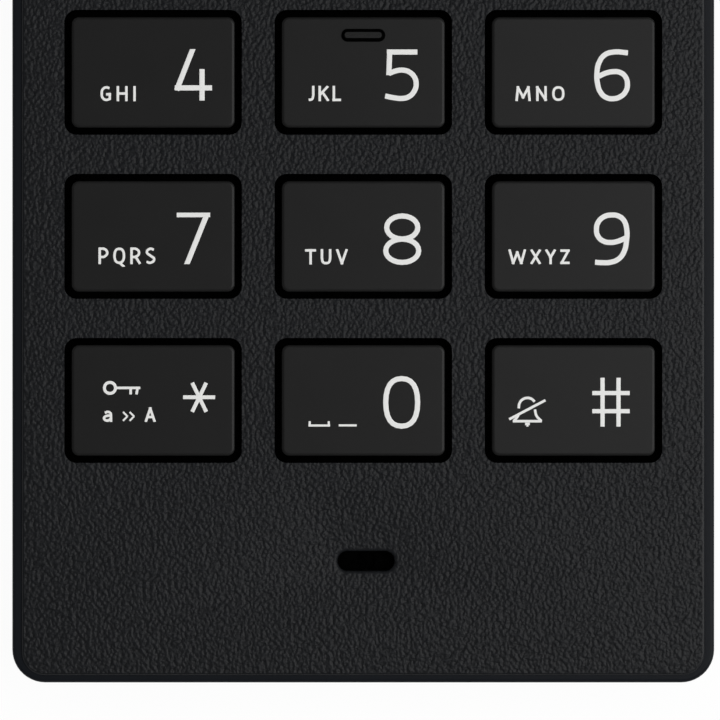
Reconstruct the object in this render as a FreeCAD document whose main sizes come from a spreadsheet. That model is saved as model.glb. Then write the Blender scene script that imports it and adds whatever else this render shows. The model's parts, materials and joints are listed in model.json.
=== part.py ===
"""A slider phone, lying on its back with the slide open.

X runs across the phone, Y from its bottom edge to its top, Z out of the keypad deck.
The origin is the middle of the base's rear face. Lengths are in millimetres.
"""
import FreeCAD, Part
import math
import os
import re
import Sketcher

doc = FreeCAD.newDocument("slider_phone")

# ---------------------------------------------------------------- driving dimensions
SIZES = {
    # the two halves
    "case_width": 52.0,
    "base_length": 112.0,
    "base_thickness": 8.4,
    "slide_thickness": 5.8,
    "slide_travel": 49.2,
    "slide_gap": 0.4,
    "corner_radius": 2.45,
    "deck_round": 0.18,
    "rear_round": 0.8,
    "slide_rear_round": 0.4,
    "rim_side": 0.75,
    "rim_end": 0.58,
    "rim_drop": 0.2,
    "rim_round": 0.3,
    # walls and joints of the shells
    "side_wall": 1.55,
    "step_wall": 1.2,
    "deck_wall": 1.0,
    "rear_wall": 1.0,
    "base_parting": 3.5,
    "slide_parting": 2.7,
    "slide_deck_wall": 1.2,
    "slide_rear_wall": 0.7,
    "fit_gap": 0.1,
    # number keys
    "deck_margin": 3.9,
    "column_bar": 2.42,
    "row_bar": 2.9,
    "bottom_row_height": 20.9,
    "cap_length": 8.19,
    "cap_corner": 0.55,
    "cap_round": 0.22,
    "cap_proud": 0.05,
    "key_groove": 0.52,
    "groove_rounding": 0.7,
    "slot_rounding": 0.49,
    "key_travel": 0.3,
    "press_clearance": 0.05,
    "flange_lap": 0.4,
    "flange_thickness": 0.3,
    "bar_width": 3.1,
    "bar_length": 0.8,
    "bar_height": 0.2,
    "bar_offset": 2.73,
    "bar_rounding": 0.8,
    # keypad stack
    "mat_web": 0.3,
    "mat_border": 1.5,
    "plunger_height": 0.25,
    "plunger_diameter": 3.0,
    "dome_height": 0.25,
    "dome_diameter": 5.0,
    "dome_foil": 0.1,
    "board_thickness": 0.8,
    "board_edge_gap": 1.1,
    # microphone
    "mic_slot_width": 4.2,
    "mic_slot_length": 1.45,
    "mic_offset": 0.2,
    "mic_height": 9.02,
    "mic_diameter": 4.0,
    "mic_thickness": 1.25,
    "boot_wall": 0.6,
    "boot_port": 1.4,
    # battery bay and cover
    "battery_margin": 6.7,
    "battery_height": 14.0,
    "battery_round": 0.6,
    "bay_gap": 0.2,
    "bay_wall": 0.8,
    "bay_floor": 0.8,
    "bay_ceiling": 0.3,
    "bay_end_room": 1.7,
    "cover_thickness": 0.9,
    "upper_back": 24.0,
    "cover_travel": 5.0,
    "hook_side_inset": 3.6,
    "hook_low_inset": 18.0,
    "hook_high_inset": 10.0,
    "hook_width": 1.2,
    "hook_length": 2.0,
    "hook_reach": 1.5,
    "hook_thickness": 0.5,
    "hook_gap": 0.2,
    "contact_width": 8.0,
    "contact_length": 3.0,
    "contact_height": 2.9,
    "contact_pad_width": 1.2,
    "contact_pad_reach": 0.3,
    "contact_pitch": 2.5,
    "contact_land": 0.97,
    # SIM
    "sim_width": 25.0,
    "sim_length": 15.0,
    "sim_thickness": 0.76,
    "sim_spacing": 0.3,
    "holder_border": 0.8,
    "holder_thickness": 1.4,
    # screws
    "screw_side_inset": 4.4,
    "screw_end_inset": 4.4,
    "boss_clearance": 0.6,
    "boss_diameter": 3.4,
    "post_diameter": 3.6,
    "screw_diameter": 1.3,
    "screw_head": 2.4,
    "screw_head_height": 0.6,
    "screw_hole": 1.4,
    "screw_reach": 3.0,
    "head_hole": 2.8,
    "head_sink": 0.8,
    "driver_slot": 0.35,
    "driver_reach": 1.68,
    "board_notch_gap": 0.4,
    # rear fittings in the base's upper end
    "camera_inset": 13.0,
    "camera_block": 8.4,
    "camera_barrel": 6.4,
    "camera_block_height": 2.35,
    "lens_window": 8.0,
    "lens_window_thickness": 0.8,
    "lens_port": 5.0,
    "speaker_side_inset": 11.5,
    "speaker_width": 14.0,
    "speaker_length": 10.0,
    "speaker_thickness": 2.9,
    "speaker_corner": 2.0,
    "gasket_thickness": 0.3,
    "gasket_width": 1.0,
    "grille_slot_width": 0.8,
    "grille_slot_length": 6.4,
    "grille_pitch": 1.9,
    "motor_diameter": 3.8,
    "motor_length": 7.7,
    "motor_side_inset": 16.5,
    "motor_inset": 10.0,
    "motor_shaft": 0.8,
    "shaft_socket": 1.2,
    "weight_radius": 1.75,
    "weight_length": 2.6,
    "weight_gap": 0.4,
    # system connector in the top edge
    "usb_side_inset": 14.0,
    "usb_width": 7.6,
    "usb_depth": 5.4,
    "usb_thickness": 2.5,
    "usb_wall": 0.35,
    "usb_throat": 4.4,
    # antenna and shields
    "antenna_side_gap": 1.8,
    "antenna_length": 8.6,
    "antenna_wall": 0.8,
    "antenna_gap": 0.4,
    "can_middle_gap": 2.0,
    "can_edge_gap": 2.75,
    "can_end_gap": 0.7,
    "can_height": 1.35,
    "can_wall": 0.2,
    "can_corner": 0.8,
    # side keys
    "volume_inset": 25.0,
    "volume_length": 15.6,
    "volume_switch_pitch": 11.0,
    "camera_key_inset": 32.0,
    "camera_key_length": 8.0,
    "side_key_height": 1.6,
    "side_key_lift": 0.15,
    "side_key_proud": 0.45,
    "side_key_gap": 0.2,
    "side_key_play": 0.35,
    "side_flange": 0.35,
    "side_flange_lap": 0.6,
    "side_switch_depth": 1.6,
    "side_switch_length": 3.4,
    "side_switch_height": 1.0,
    # slide mechanism
    "plate_thickness": 0.4,
    "plate_side_inset": 11.5,
    "plate_end_inset": 4.0,
    "keypad_gap": 4.095,
    "upright_thickness": 0.5,
    "tongue_width": 3.9,
    "rail_height": 1.4,
    "rail_wall": 0.8,
    "rail_play": 0.15,
    "rail_side_play": 0.2,
    "channel_gap": 0.5,
    "channel_end_gap": 0.3,
    "slide_lip": 2.9,
    "sliding_plate_margin": 0.5,
    "plate_screw_side": 3.9,
    "plate_screw_inset": 2.6,
    "plate_screw_reach": 1.7,
    "plate_screw_head_height": 0.35,
    "plate_boss_height": 1.1,
    "detent_side": 4.9,
    "detent_inset": 14.0,
    "detent_width": 3.0,
    "detent_leaf": 0.2,
    "detent_foot": 6.0,
    "detent_arm": 8.0,
    "detent_nose": 1.6,
    "detent_hole": 3.2,
    "flex_width": 8.0,
    "flex_thickness": 0.12,
    "flex_clearance": 0.1,
    "flex_slot_length": 1.6,
    "flex_slot_inset": 2.0,
    "flex_bend_inset": 2.0,
    "flex_return": 6.0,
    # display half
    "window_side_margin": 3.5,
    "window_start": 27.5,
    "window_top_margin": 9.9,
    "window_thickness": 0.8,
    "window_corner": 1.5,
    "window_round": 0.15,
    "view_side_border": 5.7,
    "view_end_border": 8.1,
    "view_lift": 2.0,
    "view_room": 1.2,
    "module_border": 2.5,
    "module_tail": 4.0,
    "tray_floor": 0.3,
    "tray_wall": 1.1,
    "receiver_width": 12.0,
    "receiver_length": 6.0,
    "receiver_thickness": 1.6,
    "receiver_inset": 5.4,
    "receiver_corner": 1.2,
    "receiver_slot_width": 9.0,
    "mesh_width": 10.5,
    "mesh_length": 3.0,
    "slide_screw_side": 3.4,
    "slide_screw_inset": 3.6,
    "slide_post": 3.2,
    "slide_screw_reach": 1.3,
    "slide_head_sink": 0.8,
    # keys of the display half
    "slide_key_length": 7.2,
    "slide_key_bar": 1.36,
    "slide_key_height": 15.0,
    "slide_flange": 0.25,
    "select_size": 6.0,
    "rocker_gap": 0.5,
    "slide_plunger_height": 0.1,
    "slide_board_thickness": 0.6,
    "slide_board_start": 3.0,
    "board_window_gap": 2.0,
    "board_post_gap": 0.5,
    "slide_mat_border": 0.6,
    "small_dome": 4.0,
}

# ---------------------------------------------------------------- derived places
PLACES = {
    # outlines of the shells
    "base_low": "-base_length / 2",
    "base_high": "base_length / 2",
    "side_face": "case_width / 2",
    "front_width": "case_width - 2 * rim_side",
    "front_length": "base_length - 2 * rim_end",
    "front_corner": "corner_radius - rim_side",
    "inner_width": "case_width - 2 * side_wall",
    "inner_length": "base_length - 2 * side_wall",
    "inner_corner": "corner_radius - side_wall",
    # levels of the base, from the deck down
    "deck_top": "base_thickness",
    "rim_top": "deck_top - rim_drop",
    "deck_under": "deck_top - deck_wall",
    "cap_top": "deck_top + cap_proud",
    "flange_top": "deck_under - fit_gap",
    "flange_under": "flange_top - flange_thickness",
    "mat_top": "flange_under - key_travel - press_clearance",
    "mat_under": "mat_top - mat_web",
    "dome_top": "mat_under - plunger_height",
    "foil_top": "dome_top - dome_height",
    "board_top": "foil_top - dome_foil",
    "board_under": "board_top - board_thickness",
    "ceiling_top": "board_under - fit_gap",
    "ceiling_under": "ceiling_top - bay_ceiling",
    "battery_top": "ceiling_under - fit_gap",
    "frame_under": "cover_thickness + fit_gap",
    "frame_top": "frame_under + bay_floor",
    # keypad
    "opening_width": "(case_width - 2 * deck_margin - 2 * column_bar) / 3",
    "opening_length": "cap_length + 2 * key_groove",
    "opening_corner": "cap_corner + key_groove * groove_rounding",
    "cap_width": "opening_width - 2 * key_groove",
    "key_pitch_x": "opening_width + column_bar",
    "key_pitch_y": "opening_length + row_bar",
    "key_row": "base_low + bottom_row_height",
    "keypad_middle": "key_row + 1.5 * key_pitch_y",
    "keypad_high": "key_row + 3 * key_pitch_y + opening_length / 2",
    "mat_width": "2 * key_pitch_x + cap_width + 2 * mat_border",
    "mat_length": "3 * key_pitch_y + cap_length + 2 * mat_border",
    "board_width": "inner_width - 2 * board_edge_gap",
    "board_length": "inner_length - 2 * board_edge_gap",
    "mic_row": "base_low + mic_height",
    "mic_top": "board_top + mic_thickness",
    "boot_diameter": "mic_diameter + 2 * boot_wall",
    # battery bay, cover and SIM
    "cover_length": "base_length - upper_back",
    "cover_end": "base_low + cover_length",
    "upper_start": "cover_end + step_wall",
    "upper_end": "inner_length / 2",
    "holder_width": "sim_width + 2 * holder_border",
    "holder_length": "sim_length + 2 * holder_border",
    "bay_width": "case_width - 2 * battery_margin + 2 * bay_gap",
    "bay_low": "base_low + battery_height",
    "bay_end": "cover_end - bay_end_room - holder_length - sim_spacing - contact_length",
    "bay_length": "bay_end - bay_low",
    "bay_middle": "(bay_low + bay_end) / 2",
    "battery_width": "bay_width - 2 * bay_gap",
    "battery_length": "bay_length - 2 * bay_gap",
    "hook_offset": "side_face - hook_side_inset",
    "low_hook": "base_low + hook_low_inset",
    "high_hook": "cover_end - hook_high_inset",
    "hook_under": "frame_top + fit_gap",
    "hook_top": "hook_under + hook_thickness",
    "hook_slot_length": "hook_length + cover_travel + 2 * hook_gap",
    "contact_middle": "bay_end + contact_length / 2",
    "contact_under": "board_under - contact_height",
    "sim_middle": "contact_middle + contact_length / 2 + sim_spacing + holder_length / 2",
    "holder_under": "board_under - holder_thickness",
    "sim_under": "holder_under + (holder_thickness - sim_thickness) / 2",
    "sim_top": "sim_under + sim_thickness",
    # screws
    "screw_offset": "side_face - screw_side_inset",
    "screw_row": "base_high - screw_end_inset",
    "middle_screw_row": "bay_end + bay_wall + boss_diameter / 2 + boss_clearance",
    "screw_seat": "frame_under + head_sink",
    "screw_tip": "base_parting + screw_reach",
    # upper rear fittings
    "camera_row": "base_high - camera_inset",
    "camera_block_under": "board_under - camera_block_height",
    "window_sink": "rear_wall - lens_window_thickness - fit_gap / 2",
    "speaker_offset": "side_face - speaker_side_inset",
    "speaker_under": "rear_wall + gasket_thickness",
    "speaker_top": "speaker_under + speaker_thickness",
    "motor_row": "base_high - motor_inset",
    "motor_axis": "(rear_wall + board_under) / 2",
    "motor_start": "side_face - motor_side_inset",
    "motor_end": "motor_start + motor_length",
    "weight_start": "motor_end + weight_gap",
    "weight_end": "weight_start + weight_length",
    "usb_offset": "side_face - usb_side_inset",
    "usb_middle": "base_high - usb_depth / 2",
    "usb_under": "board_under - usb_thickness",
    "antenna_under": "frame_top + fit_gap",
    "antenna_width": "2 * (screw_offset - post_diameter / 2 - antenna_side_gap)",
    "antenna_middle": "(antenna_length - inner_length) / 2 + antenna_gap",
    # side keys
    "wall_middle": "(case_width - side_wall) / 2",
    "volume_row": "base_high - volume_inset",
    "camera_key_row": "base_high - camera_key_inset",
    "side_key_under": "base_parting + side_key_lift",
    "side_key_top": "side_key_under + side_key_height",
    "side_opening_top": "side_key_top + side_key_lift",
    "side_key_face": "side_face + side_key_proud",
    "side_flange_face": "inner_width / 2 - side_key_play",
    "side_key_back": "side_flange_face - side_flange",
    "side_switch_face": "side_key_back - key_travel - press_clearance",
    "side_switch_under": "board_under - side_switch_height",
    # slide mechanism
    "slide_under": "deck_top + slide_gap",
    "slide_top": "slide_under + slide_thickness",
    "slide_floor": "slide_under + slide_rear_wall",
    "rail_top": "slide_floor + rail_height",
    "sliding_plate_top": "rail_top + plate_thickness",
    "tongue_under": "(slide_floor + rail_top - plate_thickness) / 2",
    "tongue_top": "tongue_under + plate_thickness",
    "recess_floor": "deck_top - plate_thickness",
    "fixed_plate_width": "case_width - 2 * plate_side_inset",
    "fixed_plate_low": "keypad_high + keypad_gap",
    "fixed_plate_high": "base_high - plate_end_inset",
    "fixed_plate_length": "fixed_plate_high - fixed_plate_low",
    "fixed_plate_middle": "(fixed_plate_low + fixed_plate_high) / 2",
    "upright_middle": "(fixed_plate_width - upright_thickness) / 2",
    "tongue_edge": "fixed_plate_width / 2 + tongue_width",
    "tongue_middle": "tongue_edge - (tongue_width + upright_thickness) / 2",
    "channel_width": "fixed_plate_width + 2 * channel_gap",
    "channel_low": "fixed_plate_low - channel_end_gap",
    "channel_length": "fixed_plate_length + slide_travel + 2 * channel_end_gap",
    "channel_middle": "channel_low + channel_length / 2",
    "rail_inner": "channel_width / 2",
    "groove_edge": "tongue_edge + rail_side_play",
    "rail_width": "groove_edge + rail_wall - rail_inner",
    "rail_middle": "rail_inner + rail_width / 2",
    "groove_width": "groove_edge - rail_inner",
    "groove_middle": "rail_inner + groove_width / 2",
    "sliding_plate_width": "2 * (rail_inner + rail_width + sliding_plate_margin)",
    "plate_screw_offset": "fixed_plate_width / 2 - plate_screw_side",
    "plate_screw_low": "fixed_plate_low + plate_screw_inset",
    "plate_screw_high": "fixed_plate_high - plate_screw_inset",
    "detent_offset": "fixed_plate_width / 2 - detent_side",
    "detent_start": "fixed_plate_low + detent_inset",
    "detent_row": "detent_start - detent_arm",
    "flex_slot_row": "fixed_plate_low + flex_slot_inset",
    "flex_bend_row": "fixed_plate_high - flex_bend_inset",
    "flex_entry_row": "flex_bend_row - flex_return",
    # shield cans between the plate screws
    "can_width": "board_width / 2 - can_middle_gap / 2 - can_edge_gap",
    "can_length": "plate_screw_high - plate_screw_low - boss_diameter - 2 * can_end_gap",
    "can_offset": "(can_middle_gap + can_width) / 2",
    "can_top": "board_top + can_height",
    # outline of the display half
    "slide_length": "slide_lip + channel_length + plate_end_inset - channel_end_gap",
    "slide_low": "base_high - slide_length + slide_travel",
    "slide_high": "base_high + slide_travel",
    "slide_middle": "(slide_low + slide_high) / 2",
    "slide_split": "slide_under + slide_parting",
    "slide_front_length": "slide_length - 2 * rim_end",
    "slide_inner_length": "slide_length - 2 * side_wall",
    "slide_screw_offset": "side_face - slide_screw_side",
    "slide_screw_low": "slide_low + slide_screw_inset",
    "slide_screw_high": "slide_high - slide_screw_inset",
    "slide_screw_seat": "slide_under + slide_head_sink",
    "slide_screw_tip": "slide_split + slide_screw_reach",
    # levels of the display half, from its face down
    "slide_rim_top": "slide_top - rim_drop",
    "slide_deck_under": "slide_top - slide_deck_wall",
    "slide_cap_top": "slide_top + cap_proud",
    "slide_flange_top": "slide_deck_under - fit_gap",
    "slide_flange_under": "slide_flange_top - slide_flange",
    "slide_mat_top": "slide_flange_under - key_travel - press_clearance",
    "slide_mat_under": "slide_mat_top - mat_web",
    "slide_dome_top": "slide_mat_under - slide_plunger_height",
    "slide_foil_top": "slide_dome_top - dome_height",
    "slide_board_top": "slide_foil_top - dome_foil",
    "slide_board_under": "slide_board_top - slide_board_thickness",
    # display
    "window_width": "case_width - 2 * window_side_margin",
    "window_length": "slide_length - window_start - window_top_margin",
    "window_middle": "slide_low + window_start + window_length / 2",
    "window_under": "slide_top - window_thickness",
    "view_width": "window_width - 2 * view_side_border",
    "view_length": "window_length - 2 * view_end_border",
    "view_middle": "window_middle + view_lift",
    "module_width": "view_width + 2 * module_border",
    "module_length": "view_length + 2 * module_border + module_tail",
    "module_middle": "view_middle - module_tail / 2",
    "tray_under": "sliding_plate_top",
    "tray_floor_top": "tray_under + tray_floor",
    "tray_width": "module_width + 2 * (fit_gap + tray_wall)",
    "tray_length": "module_length + 2 * (fit_gap + tray_wall)",
    "tray_top": "slide_deck_under - fit_gap",
    "receiver_row": "slide_high - receiver_inset",
    "receiver_under": "sliding_plate_top",
    "receiver_top": "receiver_under + receiver_thickness",
    # keys of the display half
    "slide_opening_length": "slide_key_length + 2 * key_groove",
    "slide_key_pitch": "slide_opening_length + slide_key_bar",
    "rocker_length": "slide_key_pitch + slide_key_length",
    "rocker_opening": "rocker_length + 2 * key_groove",
    "rocker_hole": "select_size + 2 * rocker_gap",
    "rocker_reach": "(rocker_length + rocker_hole) / 4",
    "nav_middle": "slide_low + slide_key_height",
    "nav_low_row": "nav_middle - slide_key_pitch / 2",
    "nav_high_row": "nav_middle + slide_key_pitch / 2",
    "slide_mat_width": "2 * key_pitch_x + cap_width",
    "slide_mat_length": "rocker_length + 2 * slide_mat_border",
    "slide_board_width": "2 * (slide_screw_offset - slide_post / 2 - board_post_gap)",
    "slide_board_length": "window_start - slide_board_start - board_window_gap",
    "slide_board_middle": "slide_low + slide_board_start + slide_board_length / 2",
}

# ---------------------------------------------------------------- sheets and helpers
sizes = doc.addObject("Spreadsheet::Sheet", "Sizes")
for row, (alias, number) in enumerate(SIZES.items(), start=1):
    sizes.set(f"A{row}", alias.replace("_", " "))
    sizes.set(f"B{row}", str(number))
    sizes.setAlias(f"B{row}", alias)
doc.recompute()


def linked(text, own_sheet=False):
    """Point the plain names of an expression at the cells that hold them."""
    def cell(match):
        word = match.group(0)
        if word in SIZES:
            return "Sizes." + word
        if word in PLACES:
            return word if own_sheet else "Places." + word
        return word
    return re.sub(r"(?<![.A-Za-z])[a-z][a-z_]*", cell, str(text))


places = doc.addObject("Spreadsheet::Sheet", "Places")
for row, (alias, formula) in enumerate(PLACES.items(), start=1):
    places.set(f"A{row}", alias.replace("_", " "))
    places.set(f"B{row}", "=" + linked(formula, own_sheet=True))
    places.setAlias(f"B{row}", alias)
doc.recompute()


def value(text):
    """The number that an expression comes to."""
    return float(sizes.evalExpression(linked(text)))


NODES = []


def new_body(name, is_node=True):
    """An empty body; a node is written to a file of its own."""
    piece = doc.addObject("PartDesign::Body", name)
    piece.Label = name
    if is_node:
        NODES.append(piece)
    return piece


def new_sketch(piece, role, lift):
    """A sketch on one of the body's origin planes, lifted off it."""
    sketch = piece.newObject("Sketcher::SketchObject", piece.Name + "_sketch")
    plane = next(item for item in piece.Origin.OriginFeatures if item.Role == role)
    sketch.AttachmentSupport = [(plane, "")]
    sketch.MapMode = "FlatFace"
    sketch.setExpression("AttachmentOffset.Base.z", linked(lift))
    return sketch


def hold(sketch, label, text, kind, *ends):
    """Add a dimension to the sketch and bind it to an expression."""
    number = sketch.addConstraint(Sketcher.Constraint(kind, *ends, value(text)))
    sketch.renameConstraint(number, label)
    sketch.setExpression(f"Constraints.{label}", linked(text))


def middle_point(sketch, x, y):
    """A construction point at x and y from the sketch's origin, for an outline to lie about."""
    point = sketch.addGeometry(Part.Point(FreeCAD.Vector(value(x), value(y), 0)), True)
    hold(sketch, f"x_{point}", x, "DistanceX", -1, 1, point, 1)
    hold(sketch, f"y_{point}", y, "DistanceY", -1, 1, point, 1)
    return point


def rectangle(width, length, corner=None):
    """The outline of a rectangle, with round corners where a radius is given."""
    def draw(sketch, x, y):
        middle = middle_point(sketch, x, y)
        centre = FreeCAD.Vector(value(x), value(y), 0)
        half_w = value(width) / 2
        half_l = value(length) / 2
        radius = value(corner) if corner else 0.0
        spots = [(-half_w, -half_l), (half_w, -half_l), (half_w, half_l), (-half_w, half_l)]
        runs = [(1, 0), (0, 1), (-1, 0), (0, -1)]
        sides = []
        for index, run in enumerate(runs):
            along = FreeCAD.Vector(*run, 0) * radius
            start = centre + FreeCAD.Vector(*spots[index], 0) + along
            end = centre + FreeCAD.Vector(*spots[(index + 1) % 4], 0) - along
            sides.append(sketch.addGeometry(Part.LineSegment(start, end), False))
            kind = "Horizontal" if run[0] else "Vertical"
            sketch.addConstraint(Sketcher.Constraint(kind, sides[-1]))
        if corner:
            arcs = []
            for index, (spot, turn) in enumerate(zip(spots, (180, 270, 0, 90))):
                pivot = FreeCAD.Vector(*(end - math.copysign(radius, end) for end in spot), 0)
                circle = Part.Circle(centre + pivot, FreeCAD.Vector(0, 0, 1), radius)
                sweep = (math.radians(turn), math.radians(turn + 90))
                arcs.append(sketch.addGeometry(Part.ArcOfCircle(circle, *sweep), False))
                sketch.addConstraint(Sketcher.Constraint("Tangent", sides[index - 1], 2, arcs[-1], 1))
                sketch.addConstraint(Sketcher.Constraint("Tangent", arcs[-1], 2, sides[index], 1))
                if index:
                    sketch.addConstraint(Sketcher.Constraint("Equal", arcs[0], arcs[-1]))
            sketch.addConstraint(Sketcher.Constraint("Symmetric", arcs[0], 3, arcs[2], 3, middle, 1))
            hold(sketch, f"corner_{middle}", corner, "Radius", arcs[0])
        else:
            for index in range(4):
                sketch.addConstraint(
                    Sketcher.Constraint("Coincident", sides[index - 1], 2, sides[index], 1))
            sketch.addConstraint(Sketcher.Constraint("Symmetric", sides[0], 1, sides[2], 1, middle, 1))
        hold(sketch, f"across_{middle}", width, "DistanceX", sides[3], 1, sides[1], 1)
        hold(sketch, f"along_{middle}", length, "DistanceY", sides[0], 2, sides[2], 1)
    return draw


def disc(diameter):
    """The outline of a circle."""
    def draw(sketch, x, y):
        middle = middle_point(sketch, x, y)
        centre = FreeCAD.Vector(value(x), value(y), 0)
        circle = Part.Circle(centre, FreeCAD.Vector(0, 0, 1), value(diameter) / 2)
        ring = sketch.addGeometry(circle, False)
        sketch.addConstraint(Sketcher.Constraint("Coincident", ring, 3, middle, 1))
        hold(sketch, f"across_{middle}", diameter, "Diameter", ring)
    return draw


def prism(kind, role, piece, outline, start, length, spots):
    """Add (Pad) or take away (Pocket) the outline's prism at each spot."""
    sketch = new_sketch(piece, role, start)
    for spot in spots or [(0, 0)]:
        outline(sketch, *spot)
    feature = piece.newObject(f"PartDesign::{kind}", f"{piece.Name}_{kind.lower()}")
    feature.Profile = sketch
    feature.setExpression("Length", linked(length))


def pad(piece, outline, bottom, top, *spots):
    """Add the outline's prism between two heights, at each spot."""
    prism("Pad", "XY_Plane", piece, outline, bottom, f"({top}) - ({bottom})", spots)


def cut(piece, outline, bottom, top, *spots):
    """Take the outline's prism away between two heights, at each spot."""
    prism("Pocket", "XY_Plane", piece, outline, top, f"({top}) - ({bottom})", spots)


def pad_across(piece, outline, left, right, *spots):
    """Add the outline's prism along X, from left to right."""
    prism("Pad", "YZ_Plane", piece, outline, left, f"({right}) - ({left})", spots)


def cut_across(piece, outline, left, right, *spots):
    """Take the outline's prism away along X, from left to right."""
    prism("Pocket", "YZ_Plane", piece, outline, right, f"({right}) - ({left})", spots)


def round_level(piece, level, radius):
    """Round every edge that lies wholly at one height."""
    doc.recompute()
    height = value(level)
    names = [
        f"Edge{number}" for number, edge in enumerate(piece.Tip.Shape.Edges, start=1)
        if abs(edge.BoundBox.ZMin - height) < 1e-4 and abs(edge.BoundBox.ZMax - height) < 1e-4
    ]
    base = piece.Tip
    feature = piece.newObject("PartDesign::Fillet", piece.Name + "_round")
    feature.Base = (base, names)
    feature.setExpression("Radius", linked(radius))


def group(name, members):
    """One node of several like solids."""
    whole = doc.addObject("Part::Compound", name)
    whole.Label = name
    whole.Links = members
    NODES.append(whole)


LEFT_RIGHT = (-1, 1)
KEY_NAMES = (
    ("key_star", "key_0", "key_hash"),
    ("key_7", "key_8", "key_9"),
    ("key_4", "key_5", "key_6"),
    ("key_1", "key_2", "key_3"),
)
KEY_SPOTS = {
    name: (f"{column} * key_pitch_x", f"key_row + {row} * key_pitch_y")
    for row, names in enumerate(KEY_NAMES)
    for column, name in zip((-1, 0, 1), names)
}
SLIDE_KEYS = {
    "call_key": ("-key_pitch_x", "nav_low_row"),
    "end_key": ("key_pitch_x", "nav_low_row"),
    "left_softkey": ("-key_pitch_x", "nav_high_row"),
    "right_softkey": ("key_pitch_x", "nav_high_row"),
}
SIDE_KEYS = {
    "volume_rocker": (-1, "volume_row", "volume_length"),
    "camera_key": (1, "camera_key_row", "camera_key_length"),
}


def both_sides(offset, *rows):
    """Spots at the same offset left and right of the middle, on each of the rows."""
    return [(f"{side} * ({offset})", row) for side in LEFT_RIGHT for row in rows]


LOWER_SCREWS = both_sides("screw_offset", "-screw_row", "middle_screw_row")
UPPER_SCREWS = both_sides("screw_offset", "screw_row")
BASE_SCREWS = LOWER_SCREWS + UPPER_SCREWS
PLATE_SCREWS = both_sides("plate_screw_offset", "plate_screw_low", "plate_screw_high")
SLIDE_SCREWS = both_sides("slide_screw_offset", "slide_screw_low", "slide_screw_high")
HOOK_ROWS = ("low_hook", "(low_hook + high_hook) / 2", "high_hook")
CAMERA_SPOT = ("0", "camera_row")
USB_SPOT = ("-usb_offset", "usb_middle")
BAY_SPOT = ("0", "bay_middle")
SIM_SPOT = ("0", "sim_middle")
SLIDE_SPOT = ("0", "slide_middle")
NAV_SPOT = ("0", "nav_middle")


# ---------------------------------------------------------------- shells of the base
def make_base_front_cover():
    """The keypad deck: a shallow tray turned over, with the key openings in its face."""
    cover = new_body("base_front_cover")
    pad(cover, rectangle("case_width", "base_length", "corner_radius"), "base_parting", "rim_top")
    round_level(cover, "rim_top", "rim_round")
    pad(cover, rectangle("front_width", "front_length", "front_corner"), "deck_under", "deck_top")
    round_level(cover, "deck_top", "deck_round")
    cut(cover, rectangle("inner_width", "inner_length", "inner_corner"), "base_parting", "deck_under")
    opening = rectangle("opening_width", "opening_length", "opening_corner")
    cut(cover, opening, "deck_under", "deck_top", *KEY_SPOTS.values())
    mic_slot = rectangle("mic_slot_width", "mic_slot_length", "mic_slot_length * slot_rounding")
    cut(cover, mic_slot, "deck_under", "deck_top", ("mic_offset", "mic_row"))
    recess = rectangle("fixed_plate_width + 2 * fit_gap", "fixed_plate_length + 2 * fit_gap")
    cut(cover, recess, "recess_floor", "deck_top", ("0", "fixed_plate_middle"))
    flex_slot = rectangle("flex_width + 2 * fit_gap", "flex_slot_length")
    cut(cover, flex_slot, "deck_under", "recess_floor", ("0", "flex_slot_row"))
    pad(cover, disc("boss_diameter"), "base_parting", "deck_under", *BASE_SCREWS)
    cut(cover, disc("screw_hole"), "base_parting", "screw_tip + fit_gap", *BASE_SCREWS)
    boss_foot = "deck_under - plate_boss_height"
    pad(cover, disc("boss_diameter"), boss_foot, "deck_under", *PLATE_SCREWS)
    cut(cover, disc("screw_hole"), boss_foot, "recess_floor", *PLATE_SCREWS)
    for side, row, length in SIDE_KEYS.values():
        window = rectangle("side_wall + 2 * fit_gap", f"{length} + 2 * side_key_gap")
        cut(cover, window, "base_parting", "side_opening_top", (f"{side} * wall_middle", row))
    cut(cover, usb_mouth(), "base_parting", "board_under + fit_gap", USB_SPOT)


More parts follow.
